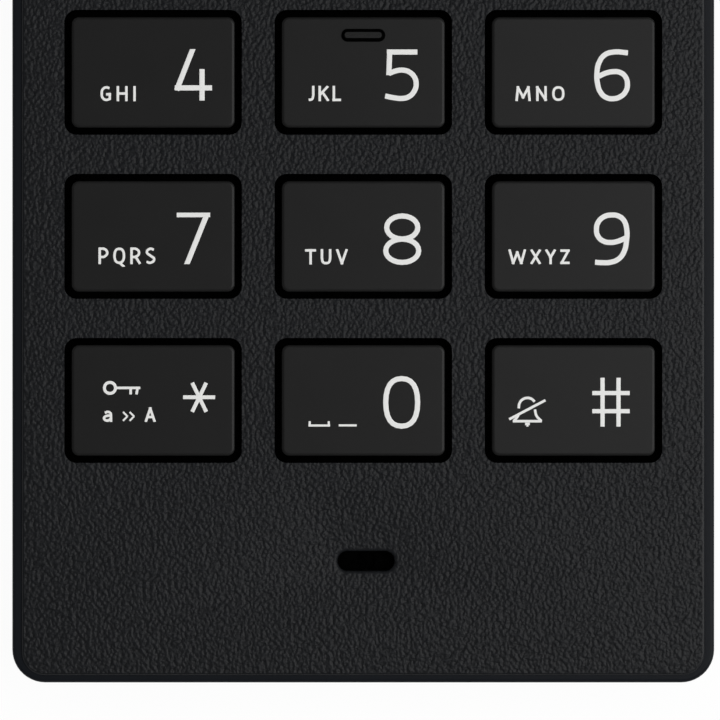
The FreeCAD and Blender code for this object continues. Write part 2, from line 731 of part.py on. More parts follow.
def make_base_rear_cover():
    """The rear shell: a floor under the board, the battery bay and the bare upper back."""
    cover = new_body("base_rear_cover")
    pad(cover, rectangle("case_width", "base_length", "corner_radius"), "0", "base_parting")
    round_level(cover, "0", "rear_round")
    inner = rectangle("inner_width", "inner_length", "inner_corner")
    cut(cover, inner, "frame_top", "base_parting")
    upper = rectangle("inner_width", "upper_end - upper_start")
    cut(cover, upper, "rear_wall", "frame_top", ("0", "(upper_start + upper_end) / 2"))
    seat = rectangle("case_width + 2 * side_wall", "cover_length + fit_gap")
    cut(cover, seat, "0", "frame_under", ("0", "base_low + (cover_length + fit_gap) / 2"))
    walls = rectangle("bay_width + 2 * bay_wall", "bay_length + 2 * bay_wall")
    pad(cover, walls, "frame_top", "ceiling_top", BAY_SPOT)
    cut(cover, rectangle("bay_width", "bay_length"), "frame_under", "ceiling_under", BAY_SPOT)
    contact_notch = rectangle("contact_width + 2 * fit_gap", "contact_length + 2 * fit_gap")
    cut(cover, contact_notch, "frame_under", "ceiling_top", ("0", "contact_middle"))
    sim_opening = rectangle("sim_width + 2 * bay_gap", "sim_length + 2 * bay_gap")
    cut(cover, sim_opening, "frame_under", "frame_top", SIM_SPOT)
    pad(cover, disc("post_diameter"), "frame_under", "base_parting", *LOWER_SCREWS)
    pad(cover, disc("post_diameter"), "rear_wall / 2", "base_parting", *UPPER_SCREWS)
    cut(cover, disc("screw_hole + fit_gap"), "frame_under", "base_parting", *BASE_SCREWS)
    cut(cover, disc("head_hole"), "0", "screw_seat", *BASE_SCREWS)
    slot = rectangle("hook_width + 2 * hook_gap", "hook_slot_length")
    slots = both_sides("hook_offset", *(f"{row} - cover_travel / 2" for row in HOOK_ROWS))
    cut(cover, slot, "frame_under", "frame_top", *slots)
    cut(cover, disc("lens_window + 2 * fit_gap"), "0", "rear_wall - fit_gap", CAMERA_SPOT)
    cut(cover, disc("lens_port"), "rear_wall - fit_gap", "rear_wall", CAMERA_SPOT)
    grille = rectangle("grille_slot_width", "grille_slot_length", "grille_slot_width * slot_rounding")
    bars = [(f"{step} * grille_pitch - speaker_offset", "camera_row") for step in range(-2, 3)]
    cut(cover, grille, "0", "rear_wall", *bars)
    cut(cover, usb_mouth(), "usb_under - fit_gap", "base_parting", USB_SPOT)


def usb_mouth():
    """The outline of the system connector's place in the top edge."""
    return rectangle("usb_width + 2 * fit_gap", "usb_depth + 2 * fit_gap")


def make_battery_cover():
    """The back panel that slides towards the bottom edge and lifts off."""
    cover = new_body("battery_cover")
    pad(cover, rectangle("case_width", "base_length", "corner_radius"), "0", "cover_thickness")
    round_level(cover, "0", "rear_round")
    beyond = rectangle("case_width + 2 * side_wall", "upper_back")
    cut(cover, beyond, "0", "cover_thickness", ("0", "base_high - upper_back / 2"))
    hooks = both_sides("hook_offset", *HOOK_ROWS)
    pad(cover, rectangle("hook_width", "hook_length"), "cover_thickness", "hook_top", *hooks)
    toe = rectangle("hook_width", "hook_length + hook_reach")
    toes = both_sides("hook_offset", *(f"{row} + hook_reach / 2" for row in HOOK_ROWS))
    pad(cover, toe, "hook_under", "hook_top", *toes)


# ---------------------------------------------------------------- inside the base
def make_power_pieces():
    """The battery, the contact block that it presses on, and the SIM in its holder."""
    battery = new_body("battery")
    pad(battery, rectangle("battery_width", "battery_length"), "frame_under", "battery_top", BAY_SPOT)
    round_level(battery, "battery_top", "battery_round")
    round_level(battery, "frame_under", "battery_round")
    block = new_body("battery_connector")
    pad(block, rectangle("contact_width", "contact_length"), "contact_under", "board_under",
        ("0", "contact_middle"))
    groove = rectangle("contact_pad_width", "contact_pad_reach")
    grooves = [(f"{step} * contact_pitch", "bay_end + contact_pad_reach / 2") for step in (-1, 0, 1)]
    cut(block, groove, "contact_under", "board_under - contact_land", *grooves)
    holder = new_body("sim_holder")
    pad(holder, rectangle("holder_width", "holder_length"), "holder_under", "board_under", SIM_SPOT)
    cut(holder, rectangle("sim_width + 2 * fit_gap", "sim_length + 2 * fit_gap"),
        "sim_under - fit_gap", "sim_top + fit_gap", SIM_SPOT)
    cut(holder, rectangle("sim_width - 2 * holder_border", "sim_length - 2 * holder_border"),
        "holder_under", "sim_under - fit_gap", SIM_SPOT)
    card = new_body("sim_card")
    pad(card, rectangle("sim_width", "sim_length", "holder_border"), "sim_under", "sim_top", SIM_SPOT)


def make_board_pieces():
    """The main board with its cans, the dome foil and the rubber mat of the keypad."""
    board = new_body("main_board")
    pad(board, rectangle("board_width", "board_length"), "board_under", "board_top")
    notch_size = "boss_diameter + 2 * board_notch_gap"
    cut(board, rectangle(notch_size, notch_size), "board_under", "board_top", *BASE_SCREWS)
    cans = []
    for number, side in enumerate(LEFT_RIGHT, start=1):
        can = new_body(f"shield_can_{number}", is_node=False)
        spot = (f"{side} * can_offset", "fixed_plate_middle")
        pad(can, rectangle("can_width", "can_length", "can_corner"), "board_top", "can_top", spot)
        hollow = rectangle("can_width - 2 * can_wall", "can_length - 2 * can_wall", "can_corner - can_wall")
        cut(can, hollow, "board_top", "can_top - can_wall", spot)
        cans.append(can)
    group("shield_cans", cans)
    foil = new_body("keypad_dome_sheet")
    sheet = rectangle("mat_width", "mat_length")
    pad(foil, sheet, "board_top", "foil_top", ("0", "keypad_middle"))
    pad(foil, disc("dome_diameter"), "foil_top", "dome_top", *KEY_SPOTS.values())
    mat = new_body("keypad_mat")
    pad(mat, sheet, "mat_under", "mat_top", ("0", "keypad_middle"))
    pad(mat, disc("plunger_diameter"), "dome_top", "mat_under", *KEY_SPOTS.values())


def make_sound_pieces():
    """The microphone in its rubber boot, the loudspeaker and its gasket."""
    mic_spot = ("mic_offset", "mic_row")
    microphone = new_body("microphone")
    pad(microphone, disc("mic_diameter"), "board_top", "mic_top", mic_spot)
    boot = new_body("mic_boot")
    pad(boot, disc("boot_diameter"), "board_top", "deck_under", mic_spot)
    cut(boot, disc("mic_diameter"), "board_top", "mic_top", mic_spot)
    cut(boot, disc("boot_port"), "mic_top", "deck_under", mic_spot)
    speaker_spot = ("-speaker_offset", "camera_row")
    speaker = new_body("loudspeaker")
    rim = rectangle("speaker_width", "speaker_length", "speaker_corner")
    pad(speaker, rim, "speaker_under", "speaker_top", speaker_spot)
    round_level(speaker, "speaker_top", "gasket_thickness")
    gasket = new_body("speaker_gasket")
    pad(gasket, rim, "rear_wall", "speaker_under", speaker_spot)
    hole = rectangle("speaker_width - 2 * gasket_width", "speaker_length - 2 * gasket_width",
                     "speaker_corner - gasket_width")
    cut(gasket, hole, "rear_wall", "speaker_under", speaker_spot)


def make_motor_pieces():
    """The vibration motor along X and the half-round weight on its shaft."""
    axis = ("motor_row", "motor_axis")
    motor = new_body("vibration_motor")
    pad_across(motor, disc("motor_diameter"), "motor_start", "motor_end", axis)
    cut_across(motor, disc("motor_shaft + 2 * fit_gap"), "motor_end - shaft_socket", "motor_end", axis)
    weight = new_body("motor_weight")
    pad_across(weight, disc("2 * weight_radius"), "weight_start", "weight_end", axis)
    upper_half = rectangle("2 * weight_radius", "weight_radius")
    cut_across(weight, upper_half, "weight_start", "weight_end",
               ("motor_row", "motor_axis + weight_radius / 2"))
    pad_across(weight, disc("motor_shaft"), "motor_end - shaft_socket + fit_gap", "weight_end", axis)


def make_camera_pieces():
    """The camera under the board and the window that covers it on the back."""
    camera = new_body("camera_module")
    block = rectangle("camera_block", "camera_block")
    pad(camera, block, "camera_block_under", "board_under", CAMERA_SPOT)
    pad(camera, disc("camera_barrel"), "rear_wall + fit_gap", "camera_block_under", CAMERA_SPOT)
    window = new_body("camera_window")
    pad(window, disc("lens_window"), "window_sink", "rear_wall - fit_gap", CAMERA_SPOT)


def make_edge_pieces():
    """The system connector, the antenna carrier, the side keys and their switches."""
    connector = new_body("usb_connector")
    pad(connector, rectangle("usb_width", "usb_depth"), "usb_under", "board_under", USB_SPOT)
    throat = rectangle("usb_width - 2 * usb_wall", "usb_throat")
    cut(connector, throat, "usb_under + usb_wall", "board_under - usb_wall",
        ("-usb_offset", "base_high - usb_throat / 2"))
    antenna = new_body("antenna_carrier")
    antenna_spot = ("0", "antenna_middle")
    pad(antenna, rectangle("antenna_width", "antenna_length"), "antenna_under", "ceiling_top",
        antenna_spot)
    hollow = rectangle("antenna_width - 2 * antenna_wall", "antenna_length - 2 * antenna_wall")
    cut(antenna, hollow, "antenna_under", "ceiling_top - antenna_wall", antenna_spot)
    switch_rows = (
        (-1, "volume_row - volume_switch_pitch / 2"),
        (-1, "volume_row + volume_switch_pitch / 2"),
        (1, "camera_key_row"),
    )
    switches = []
    for number, (side, row) in enumerate(switch_rows, start=1):
        switch = new_body(f"side_switch_{number}", is_node=False)
        pad(switch, rectangle("side_switch_depth", "side_switch_length"), "side_switch_under",
            "board_under", (f"{side} * (side_switch_face - side_switch_depth / 2)", row))
        switches.append(switch)
    group("side_switches", switches)
    for name, (side, row, length) in SIDE_KEYS.items():
        key = new_body(name)
        bar = rectangle("side_key_face - side_key_back", length)
        pad(key, bar, "side_key_under", "side_key_top",
            (f"{side} * (side_key_face + side_key_back) / 2", row))
        flange = rectangle("side_flange", f"{length} + 2 * side_flange_lap")
        pad(key, flange, "side_key_under", "side_key_top",
            (f"{side} * (side_flange_face - side_flange / 2)", row))


# ---------------------------------------------------------------- screws and keys
def make_screw(name, spot, seat, head_height, tip, head_low=True):
    """A cross-slotted screw whose head lies below its seat, or above it."""
    screw = new_body(name, is_node=False)
    head_face = f"{seat} - {head_height}" if head_low else f"{seat} + {head_height}"
    slot_floor = f"{seat} - {head_height} / 2" if head_low else f"{seat} + {head_height} / 2"
    head = (head_face, seat) if head_low else (seat, head_face)
    shank = (seat, tip) if head_low else (tip, seat)
    slot = (head_face, slot_floor) if head_low else (slot_floor, head_face)
    pad(screw, disc("screw_head"), *head, spot)
    pad(screw, disc("screw_diameter"), *shank, spot)
    cut(screw, rectangle("driver_reach", "driver_slot"), *slot, spot)
    cut(screw, rectangle("driver_slot", "driver_reach"), *slot, spot)
    return screw


def make_screws(name, spots, seat, head_height, tip, head_low=True):
    """A set of like screws, one at each spot."""
    screws = []
    for number, spot in enumerate(spots, start=1):
        screws.append(make_screw(f"{name}_{number}", spot, seat, head_height, tip, head_low))
    group(f"{name}s", screws)


def make_all_screws():
    """The screws of the base, of the fixed plate and of the display half."""
    make_screws("base_screw", BASE_SCREWS, "screw_seat", "screw_head_height", "screw_tip")
    make_screws("plate_screw", PLATE_SCREWS, "deck_top", "plate_screw_head_height",
                "deck_top - plate_screw_reach", head_low=False)
    make_screws("slide_screw", SLIDE_SCREWS, "slide_screw_seat", "screw_head_height",
                "slide_screw_tip")


def make_key(name, spot, length, under, flange_high, top):
    """A key cap with a retaining flange round its foot."""
    key = new_body(name)
    pad(key, rectangle("cap_width", length, "cap_corner"), under, top, spot)
    round_level(key, top, "cap_round")
    growth = "2 * (key_groove + flange_lap)"
    flange = rectangle(f"cap_width + {growth}", f"{length} + {growth}", "opening_corner")
    pad(key, flange, under, flange_high, spot)
    return key


def make_number_keys():
    """The twelve caps of the keypad; the middle one carries the finding bar."""
    for name, spot in KEY_SPOTS.items():
        key = make_key(name, spot, "cap_length", "flange_under", "flange_top", "cap_top")
        if name == "key_5":
            bar = rectangle("bar_width", "bar_length", "bar_length * slot_rounding")
            pad(key, bar, "cap_top", "cap_top + bar_height", (spot[0], f"{spot[1]} + bar_offset"))
            round_level(key, "cap_top + bar_height", "bar_height * bar_rounding")


# ---------------------------------------------------------------- slide mechanism
def make_plates_and_rails():
    """The fixed plate's tongues run in plastic rails under the sliding plate."""
    plate_spot = ("0", "fixed_plate_middle")
    channel_spot = ("0", "channel_middle")
    flex_slot = rectangle("flex_width + 2 * fit_gap", "flex_slot_length")
    fixed = new_body("fixed_plate")
    pad(fixed, rectangle("fixed_plate_width", "fixed_plate_length"), "recess_floor", "deck_top",
        plate_spot)
    pad(fixed, rectangle("upright_thickness", "fixed_plate_length"), "recess_floor", "tongue_top",
        *both_sides("upright_middle", "fixed_plate_middle"))
    pad(fixed, rectangle("tongue_width + upright_thickness", "fixed_plate_length"),
        "tongue_under", "tongue_top", *both_sides("tongue_middle", "fixed_plate_middle"))
    cut(fixed, flex_slot, "recess_floor", "deck_top", ("0", "flex_slot_row"))
    cut(fixed, disc("screw_hole"), "recess_floor", "deck_top", *PLATE_SCREWS)
    rails = []
    for number, side in enumerate(LEFT_RIGHT, start=1):
        rail = new_body(f"guide_rail_{number}", is_node=False)
        pad(rail, rectangle("rail_width", "channel_length"), "slide_floor", "rail_top",
            (f"{side} * rail_middle", "channel_middle"))
        cut(rail, rectangle("groove_width", "channel_length"), "tongue_under - rail_play",
            "tongue_top + rail_play", (f"{side} * groove_middle", "channel_middle"))
        rails.append(rail)
    group("guide_rails", rails)
    plate = new_body("sliding_plate")
    pad(plate, rectangle("sliding_plate_width", "channel_length"), "rail_top", "sliding_plate_top",
        channel_spot)
    detents = both_sides("detent_offset", "detent_row", "detent_row + slide_travel")
    cut(plate, disc("detent_hole"), "rail_top", "sliding_plate_top", *detents)
    cut(plate, flex_slot, "rail_top", "sliding_plate_top", ("0", "flex_entry_row"))


def make_detent_springs():
    """Two leaf springs on the fixed plate, whose noses click into the sliding plate's holes."""
    foot = value("detent_start")
    nose = value("detent_row")
    flat = value("detent_nose")
    low = value("deck_top")
    high = value("rail_top - fit_gap - detent_leaf")
    spine = [
        (foot + value("detent_foot"), low),
        (foot, low),
        (nose + flat, high),
        (nose - flat / 2, high),
        (nose - flat, high - flat / 2),
    ]
    springs = []
    for number, side in enumerate(LEFT_RIGHT, start=1):
        springs.append(strip(f"detent_spring_{number}", spine, side * value("detent_offset")))
    group("detent_springs", springs)


def strip(name, spine, middle):
    """A leaf bent in the YZ plane: its lower face follows the spine, its upper one lies above it."""
    width = value("detent_width")
    leaf = FreeCAD.Vector(0, 0, value("detent_leaf"))
    lower = [FreeCAD.Vector(middle - width / 2, y, z) for y, z in spine]
    upper = [point + leaf for point in reversed(lower)]
    face = Part.Face(Part.makePolygon(lower + upper + lower[:1]))
    feature = doc.addObject("Part::Feature", name)
    feature.Label = name
    feature.Shape = face.extrude(FreeCAD.Vector(width, 0, 0))
    return feature


def make_flex_cable():
    """The flat cable between the halves, with its bend as it lies when the phone is open."""
    width = value("flex_width")
    thick = value("flex_thickness")
    low = value("slide_under + flex_clearance")
    high = value("rail_top") - thick
    bend = value("flex_bend_row")
    entry = value("flex_entry_row")
    slot = value("flex_slot_row")
    middle = (low + high + thick) / 2
    outer = (high + thick - low) / 2
    inner = outer - thick

    def point(y, z):
        return FreeCAD.Vector(-width / 2, y, z)

    def half_ring(radius):
        ends = (point(bend, middle - radius), point(bend, middle + radius))
        return Part.Arc(ends[0], point(bend + radius, middle), ends[1]).toShape()

    edges = [
        Part.LineSegment(point(slot, low), point(bend, low)).toShape(),
        half_ring(outer),
        Part.LineSegment(point(bend, high + thick), point(entry, high + thick)).toShape(),
        Part.LineSegment(point(entry, high + thick), point(entry, high)).toShape(),
        Part.LineSegment(point(entry, high), point(bend, high)).toShape(),
        half_ring(inner),
        Part.LineSegment(point(bend, low + thick), point(slot, low + thick)).toShape(),
        Part.LineSegment(point(slot, low + thick), point(slot, low)).toShape(),
    ]
    face = Part.Face(Part.Wire(Part.__sortEdges__(edges)))
    cable = doc.addObject("Part::Feature", "flex_cable")
    cable.Label = "flex_cable"
    cable.Shape = face.extrude(FreeCAD.Vector(width, 0, 0))
    NODES.append(cable)


# ---------------------------------------------------------------- display half
def make_slide_front_cover():
    """The face of the display half, with its window seat, key openings and earpiece slot."""
    cover = new_body("slide_front_cover")
    pad(cover, rectangle("case_width", "slide_length", "corner_radius"),
        "slide_split", "slide_rim_top", SLIDE_SPOT)
    round_level(cover, "slide_rim_top", "rim_round")
    pad(cover, rectangle("front_width", "slide_front_length", "front_corner"),
        "slide_deck_under", "slide_top", SLIDE_SPOT)
    round_level(cover, "slide_top", "deck_round")
    cut(cover, rectangle("inner_width", "slide_inner_length", "inner_corner"),
        "slide_split", "slide_deck_under", SLIDE_SPOT)
    seat = rectangle("window_width + 2 * fit_gap", "window_length + 2 * fit_gap", "window_corner")
    cut(cover, seat, "window_under", "slide_top", ("0", "window_middle"))
    view = rectangle("view_width + 2 * view_room", "view_length + 2 * view_room", "inner_corner")
    cut(cover, view, "slide_deck_under", "window_under", ("0", "view_middle"))
    opening = rectangle("opening_width", "slide_opening_length", "opening_corner")
    cut(cover, opening, "slide_deck_under", "slide_top", *SLIDE_KEYS.values())
    cut(cover, rectangle("opening_width", "rocker_opening", "opening_corner"),
        "slide_deck_under", "slide_top", NAV_SPOT)
    slot = rectangle("receiver_slot_width", "mic_slot_length", "mic_slot_length * slot_rounding")
    cut(cover, slot, "slide_deck_under", "slide_top", ("0", "receiver_row"))
    pad(cover, disc("slide_post"), "slide_split", "slide_deck_under", *SLIDE_SCREWS)
    cut(cover, disc("screw_hole"), "slide_split", "slide_screw_tip + fit_gap", *SLIDE_SCREWS)


def make_slide_rear_cover():
    """The back of the display half: a rim round the open channel of the slide mechanism."""
    cover = new_body("slide_rear_cover")
    pad(cover, rectangle("case_width", "slide_length", "corner_radius"),
        "slide_under", "slide_split", SLIDE_SPOT)
    round_level(cover, "slide_under", "slide_rear_round")
    cut(cover, rectangle("inner_width", "slide_inner_length", "inner_corner"),
        "slide_floor", "slide_split", SLIDE_SPOT)
    cut(cover, rectangle("channel_width", "channel_length"), "slide_under", "slide_floor",
        ("0", "channel_middle"))
    pad(cover, disc("slide_post"), "slide_under + slide_rear_wall / 2", "slide_split", *SLIDE_SCREWS)
    cut(cover, disc("screw_hole + fit_gap"), "slide_under", "slide_split", *SLIDE_SCREWS)
    cut(cover, disc("head_hole"), "slide_under", "slide_screw_seat", *SLIDE_SCREWS)


def make_display_pieces():
    """The window, the display module under it and the metal tray that holds the module."""
    window = new_body("display_window")
    pad(window, rectangle("window_width", "window_length", "window_corner"),
        "window_under", "slide_top", ("0", "window_middle"))
    round_level(window, "slide_top", "window_round")
    module_spot = ("0", "module_middle")
    module = new_body("display_module")
    pad(module, rectangle("module_width", "module_length"), "tray_floor_top", "tray_top", module_spot)
    tray = new_body("display_frame")
    pad(tray, rectangle("tray_width", "tray_length"), "tray_under", "tray_top", module_spot)
    cut(tray, rectangle("module_width + 2 * fit_gap", "module_length + 2 * fit_gap"),
        "tray_floor_top", "tray_top", module_spot)


def make_earpiece():
    """The receiver and the mesh between it and its slot."""
    receiver = new_body("receiver")
    pad(receiver, rectangle("receiver_width", "receiver_length", "receiver_corner"),
        "receiver_under", "receiver_top", ("0", "receiver_row"))
    mesh = new_body("receiver_mesh")
    pad(mesh, rectangle("mesh_width", "mesh_length"), "receiver_top", "slide_deck_under",
        ("0", "receiver_row"))


def make_slide_keypad():
    """The board, dome foil, mat and keys below the display."""
    board = new_body("slide_board")
    pad(board, rectangle("slide_board_width", "slide_board_length"),
        "slide_board_under", "slide_board_top", ("0", "slide_board_middle"))
    foil = new_body("slide_dome_sheet")
    pad(foil, rectangle("slide_board_width", "slide_mat_length"), "slide_board_top",
        "slide_foil_top", NAV_SPOT)
    mat = new_body("slide_key_mat")
    pad(mat, rectangle("slide_mat_width", "slide_mat_length"), "slide_mat_under", "slide_mat_top",
        NAV_SPOT)
    rocker_spots = [("0", f"nav_middle + {step} * rocker_reach") for step in (-1, 0, 1)]
    domes = [*SLIDE_KEYS.values(), *rocker_spots]
    pad(foil, disc("small_dome"), "slide_foil_top", "slide_dome_top", *domes)
    pad(mat, disc("plunger_diameter"), "slide_dome_top", "slide_mat_under", *domes)
    for name, spot in SLIDE_KEYS.items():
        make_key(name, spot, "slide_key_length", "slide_flange_under", "slide_flange_top",
                 "slide_cap_top")
    rocker = new_body("nav_rocker")
    pad(rocker, rectangle("cap_width", "rocker_length", "cap_corner"),
        "slide_flange_under", "slide_cap_top", NAV_SPOT)
    round_level(rocker, "slide_cap_top", "cap_round")
    cut(rocker, rectangle("rocker_hole", "rocker_hole", "opening_corner"),
        "slide_flange_under", "slide_cap_top", NAV_SPOT)
    select = new_body("select_key")
    pad(select, rectangle("select_size", "select_size", "cap_corner"),
        "slide_flange_under", "slide_cap_top", NAV_SPOT)
    round_level(select, "slide_cap_top", "cap_round")


# ---------------------------------------------------------------- build, check and write
MAKERS = (
    make_base_front_cover, make_base_rear_cover, make_battery_cover, make_power_pieces,
    make_board_pieces, make_sound_pieces, make_motor_pieces, make_camera_pieces,
    make_edge_pieces, make_all_screws, make_number_keys, make_plates_and_rails,
    make_detent_springs, make_flex_cable, make_slide_front_cover, make_slide_rear_cover,
    make_display_pieces, make_earpiece, make_slide_keypad,
)
for make in MAKERS:
    make()
doc.recompute()

for item in doc.Objects:
    if "Invalid" in item.State or "Error" in item.State:
        raise RuntimeError(f"{item.Name} did not build: {item.State}")
os.makedirs("parts", exist_ok=True)
for node in NODES:
    if node.Shape.isNull() or not node.Shape.isValid():
        raise RuntimeError(f"{node.Label} has no valid shape")
for node in NODES:
    node.Shape.exportStep(f"parts/{node.Label}.step")
    box = node.Shape.BoundBox
    print(f"{node.Label:20s} {len(node.Shape.Solids)} solids {node.Shape.Volume:9.2f} mm3"
          f"  X {box.XMin:7.2f} {box.XMax:7.2f}  Y {box.YMin:7.2f} {box.YMax:7.2f}"
          f"  Z {box.ZMin:6.2f} {box.ZMax:6.2f}")
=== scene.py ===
import json
import math

import bmesh
import bpy
from mathutils import Matrix, Vector


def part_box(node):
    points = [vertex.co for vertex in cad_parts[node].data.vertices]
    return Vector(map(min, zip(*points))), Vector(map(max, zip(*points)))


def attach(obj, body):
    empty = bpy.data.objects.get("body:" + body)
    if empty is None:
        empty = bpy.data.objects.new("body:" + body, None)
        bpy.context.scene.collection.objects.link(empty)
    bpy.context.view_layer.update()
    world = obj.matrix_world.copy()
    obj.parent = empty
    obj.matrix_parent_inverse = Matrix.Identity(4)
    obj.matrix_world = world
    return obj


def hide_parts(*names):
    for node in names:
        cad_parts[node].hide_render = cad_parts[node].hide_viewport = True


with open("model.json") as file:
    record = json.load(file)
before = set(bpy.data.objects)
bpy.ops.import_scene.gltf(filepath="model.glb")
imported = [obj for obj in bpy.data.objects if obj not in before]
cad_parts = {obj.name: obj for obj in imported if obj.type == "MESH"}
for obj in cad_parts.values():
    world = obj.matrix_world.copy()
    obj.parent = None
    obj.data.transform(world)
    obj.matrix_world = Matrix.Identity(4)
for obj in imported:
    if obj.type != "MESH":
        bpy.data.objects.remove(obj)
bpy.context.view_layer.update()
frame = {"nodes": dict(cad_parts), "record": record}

bl_info = {
    "name": "Slider Phone Dressing",
    "version": (1, 0, 0),
    "blender": (4, 5, 0),
    "location": "View3D > Sidebar > Slider Phone",
    "description": "Shells, keys, legends, display and finishes of a slider phone",
    "category": "Object",
}

MM = 0.001
BODIES = frame["record"]["behaviour"]["bodies"]
BODY_OF = {node: body for body, members in BODIES.items() for node in members}
SLOT_OF = {part["node"]: part["material_slot"] for part in frame["record"]["subparts"]}
DECK_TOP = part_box("base_front_cover")[1].z
SLIDE_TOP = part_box("slide_front_cover")[1].z


# ---- node graphs
def maths(operation, turned=False):
    """A method of a socket that adds a Math node; turned swaps its two values."""
    def method(self, other=0.0):
        first, second = (other, self) if turned else (self, other)
        return self.graph.node("ShaderNodeMath", {"operation": operation}, {0: first, 1: second})[0]
    return method


class Wire:
    """A socket that can be added, subtracted, multiplied and divided."""

    def __init__(self, graph, socket):
        self.graph = graph
        self.socket = socket

    __add__ = __radd__ = maths("ADD")
    __sub__, __rsub__ = maths("SUBTRACT"), maths("SUBTRACT", True)
    __mul__ = __rmul__ = maths("MULTIPLY")
    __truediv__, __rtruediv__ = maths("DIVIDE"), maths("DIVIDE", True)
    __pow__, __rpow__ = maths("POWER"), maths("POWER", True)
    __abs__ = maths("ABSOLUTE")
    sine = maths("SINE")
    larger = maths("MAXIMUM")
    # One where the value is over or under a level, else none.
    above, below = maths("GREATER_THAN"), maths("LESS_THAN")


class Outputs:
    """The outputs of a node, by name or number."""

    def __init__(self, graph, node):
        self.graph = graph
        self.made = node

    def __getitem__(self, key):
        return Wire(self.graph, self.made.outputs[key])


class Graph:
    """The node tree of a material or of the world."""

    def __init__(self, owner):
        owner.use_nodes = True
        self.tree = owner.node_tree
        self.tree.nodes.clear()

    def node(self, kind, settings=None, inputs=None):
        """Add a node: its settings first, then the values or links of its sockets."""
        made = self.tree.nodes.new(kind)
        for name, setting in (settings or {}).items():
            if name == "stops":
                self._set_stops(made.color_ramp, setting)
            else:
                setattr(made, name, setting)
        for key, content in (inputs or {}).items():
            if isinstance(content, Wire):
                self.tree.links.new(content.socket, made.inputs[key])
            else:
                made.inputs[key].default_value = content
        return Outputs(self, made)

    @staticmethod
    def _set_stops(ramp, stops):
        while len(ramp.elements) < len(stops):
            ramp.elements.new(0.5)
        for element, (position, level) in zip(ramp.elements, stops):
            element.position = position
            element.color = (level, level, level, 1.0)

    def place(self, scale=(1000.0, 1000.0, 1000.0), turn=(0.0, 0.0, 0.0)):
        """Object coordinates, in millimetres unless another scale is given."""
        coordinates = self.node("ShaderNodeTexCoord")["Object"]
        inputs = {"Vector": coordinates, "Scale": scale, "Rotation": turn}
        return self.node("ShaderNodeMapping", {}, inputs)["Vector"]

    def axes(self):
        """The object's X, Y and Z in millimetres."""
        split = self.node("ShaderNodeSeparateXYZ", {}, {0: self.place()})
        return split[0], split[1], split[2]

    def noise(self, vector, scale, detail=2.0, roughness=0.5):
        inputs = {"Vector": vector, "Scale": scale, "Detail": detail, "Roughness": roughness}
        return self.node("ShaderNodeTexNoise", {}, inputs)["Fac"]

    def cells(self, vector, scale, feature="F1"):
        inputs = {"Vector": vector, "Scale": scale}
        return self.node("ShaderNodeTexVoronoi", {"feature": feature}, inputs)["Distance"]

    def ramp(self, fac, *stops):
        return self.node("ShaderNodeValToRGB", {"stops": stops}, {"Fac": fac})["Color"]

    def mix(self, factor, first, second):
        """Mix two colours."""
        inputs = {0: factor, 6: first, 7: second}
        return self.node("ShaderNodeMix", {"data_type": "RGBA"}, inputs)[2]

    def vector(self, operation, inputs):
        return self.node("ShaderNodeVectorMath", {"operation": operation}, inputs)[0]

    def jog(self, vector, pattern, amount):
        """Shift a vector by a pattern, so that a texture loses its straight lines."""
        centred = self.vector("SUBTRACT", {0: pattern, 1: (0.5, 0.5, 0.5)})
        shift = self.vector("SCALE", {0: centred, "Scale": amount})
        return self.vector("ADD", {0: vector, 1: shift})

    def bump(self, height, depth, strength):
        """Raise the surface by the height pattern, depth in millimetres."""
        inputs = {"Height": height, "Distance": depth * MM, "Strength": strength}
        return self.node("ShaderNodeBump", {}, inputs)["Normal"]

    def output(self, shader):
        self.node("ShaderNodeOutputMaterial", {}, {"Surface": shader})

    def surface(self, colour, roughness, **inputs):
        """The one shader of a finish; socket names are given with underscores."""
        named = {name.replace("_", " "): content for name, content in inputs.items()}
        named.update({"Base Color": colour, "Roughness": roughness})
        self.output(self.node("ShaderNodeBsdfPrincipled", {}, named)["BSDF"])


def shade(red, green, blue):
    """A colour written as 0 to 255 on screen, as the shader's linear one."""
    linear = []
    for level in (red / 255, green / 255, blue / 255):
        linear.append(level / 12.92 if level <= 0.04045 else ((level + 0.055) / 1.055) ** 2.4)
    return (*linear, 1.0)


def grey(level):
    return shade(level, level, level)


def new_material(name):
    material = bpy.data.materials.new(name)
    return material, Graph(material)


# ---- what a user may change
def measure(name, description, default, low, high):
    """A size that a user may change, given in millimetres."""
    return bpy.props.FloatProperty(name=name, description=description, default=default * MM,
                                   min=low * MM, max=high * MM, unit="LENGTH", precision=5)


def tint(name, description, default):
    """A colour that a user may change."""
    return bpy.props.FloatVectorProperty(name=name, description=description,
                                         default=default[:3], size=3, min=0.0, max=1.0,
                                         subtype="COLOR")


class PhoneSizes(bpy.types.PropertyGroup):
    """Sizes of the phone's small forms, in the scene's units."""

    edge_break: measure(
        "Edge Break", "Rounding of the moulded covers' sharp edges", 0.13, 0.0, 0.2)
    slot_round: measure("Slot Rounding", "Rounding over the two sound slots", 0.32, 0.02, 0.4)
    cap_edge: measure(
        "Cap Edge", "Width of the shallow slope round the top of a key cap", 0.24, 0.05, 0.5)
    cap_corner: measure("Cap Corner", "Radius of a key cap's upright corners", 0.55, 0.1, 2.0)
    ink_height: measure(
        "Ink Height", "How far the printed legends stand proud of a cap", 0.012, 0.002, 0.05)
    digit_stroke: measure("Digit Stroke", "Line width of the large digits", 0.38, 0.1, 0.8)
    letter_stroke: measure("Letter Stroke", "Line width of the small letters", 0.185, 0.1, 0.5)
    grain_pitch: measure("Grain Pitch", "Width of one wrinkle of the deck's grain", 0.3, 0.1, 2.0)


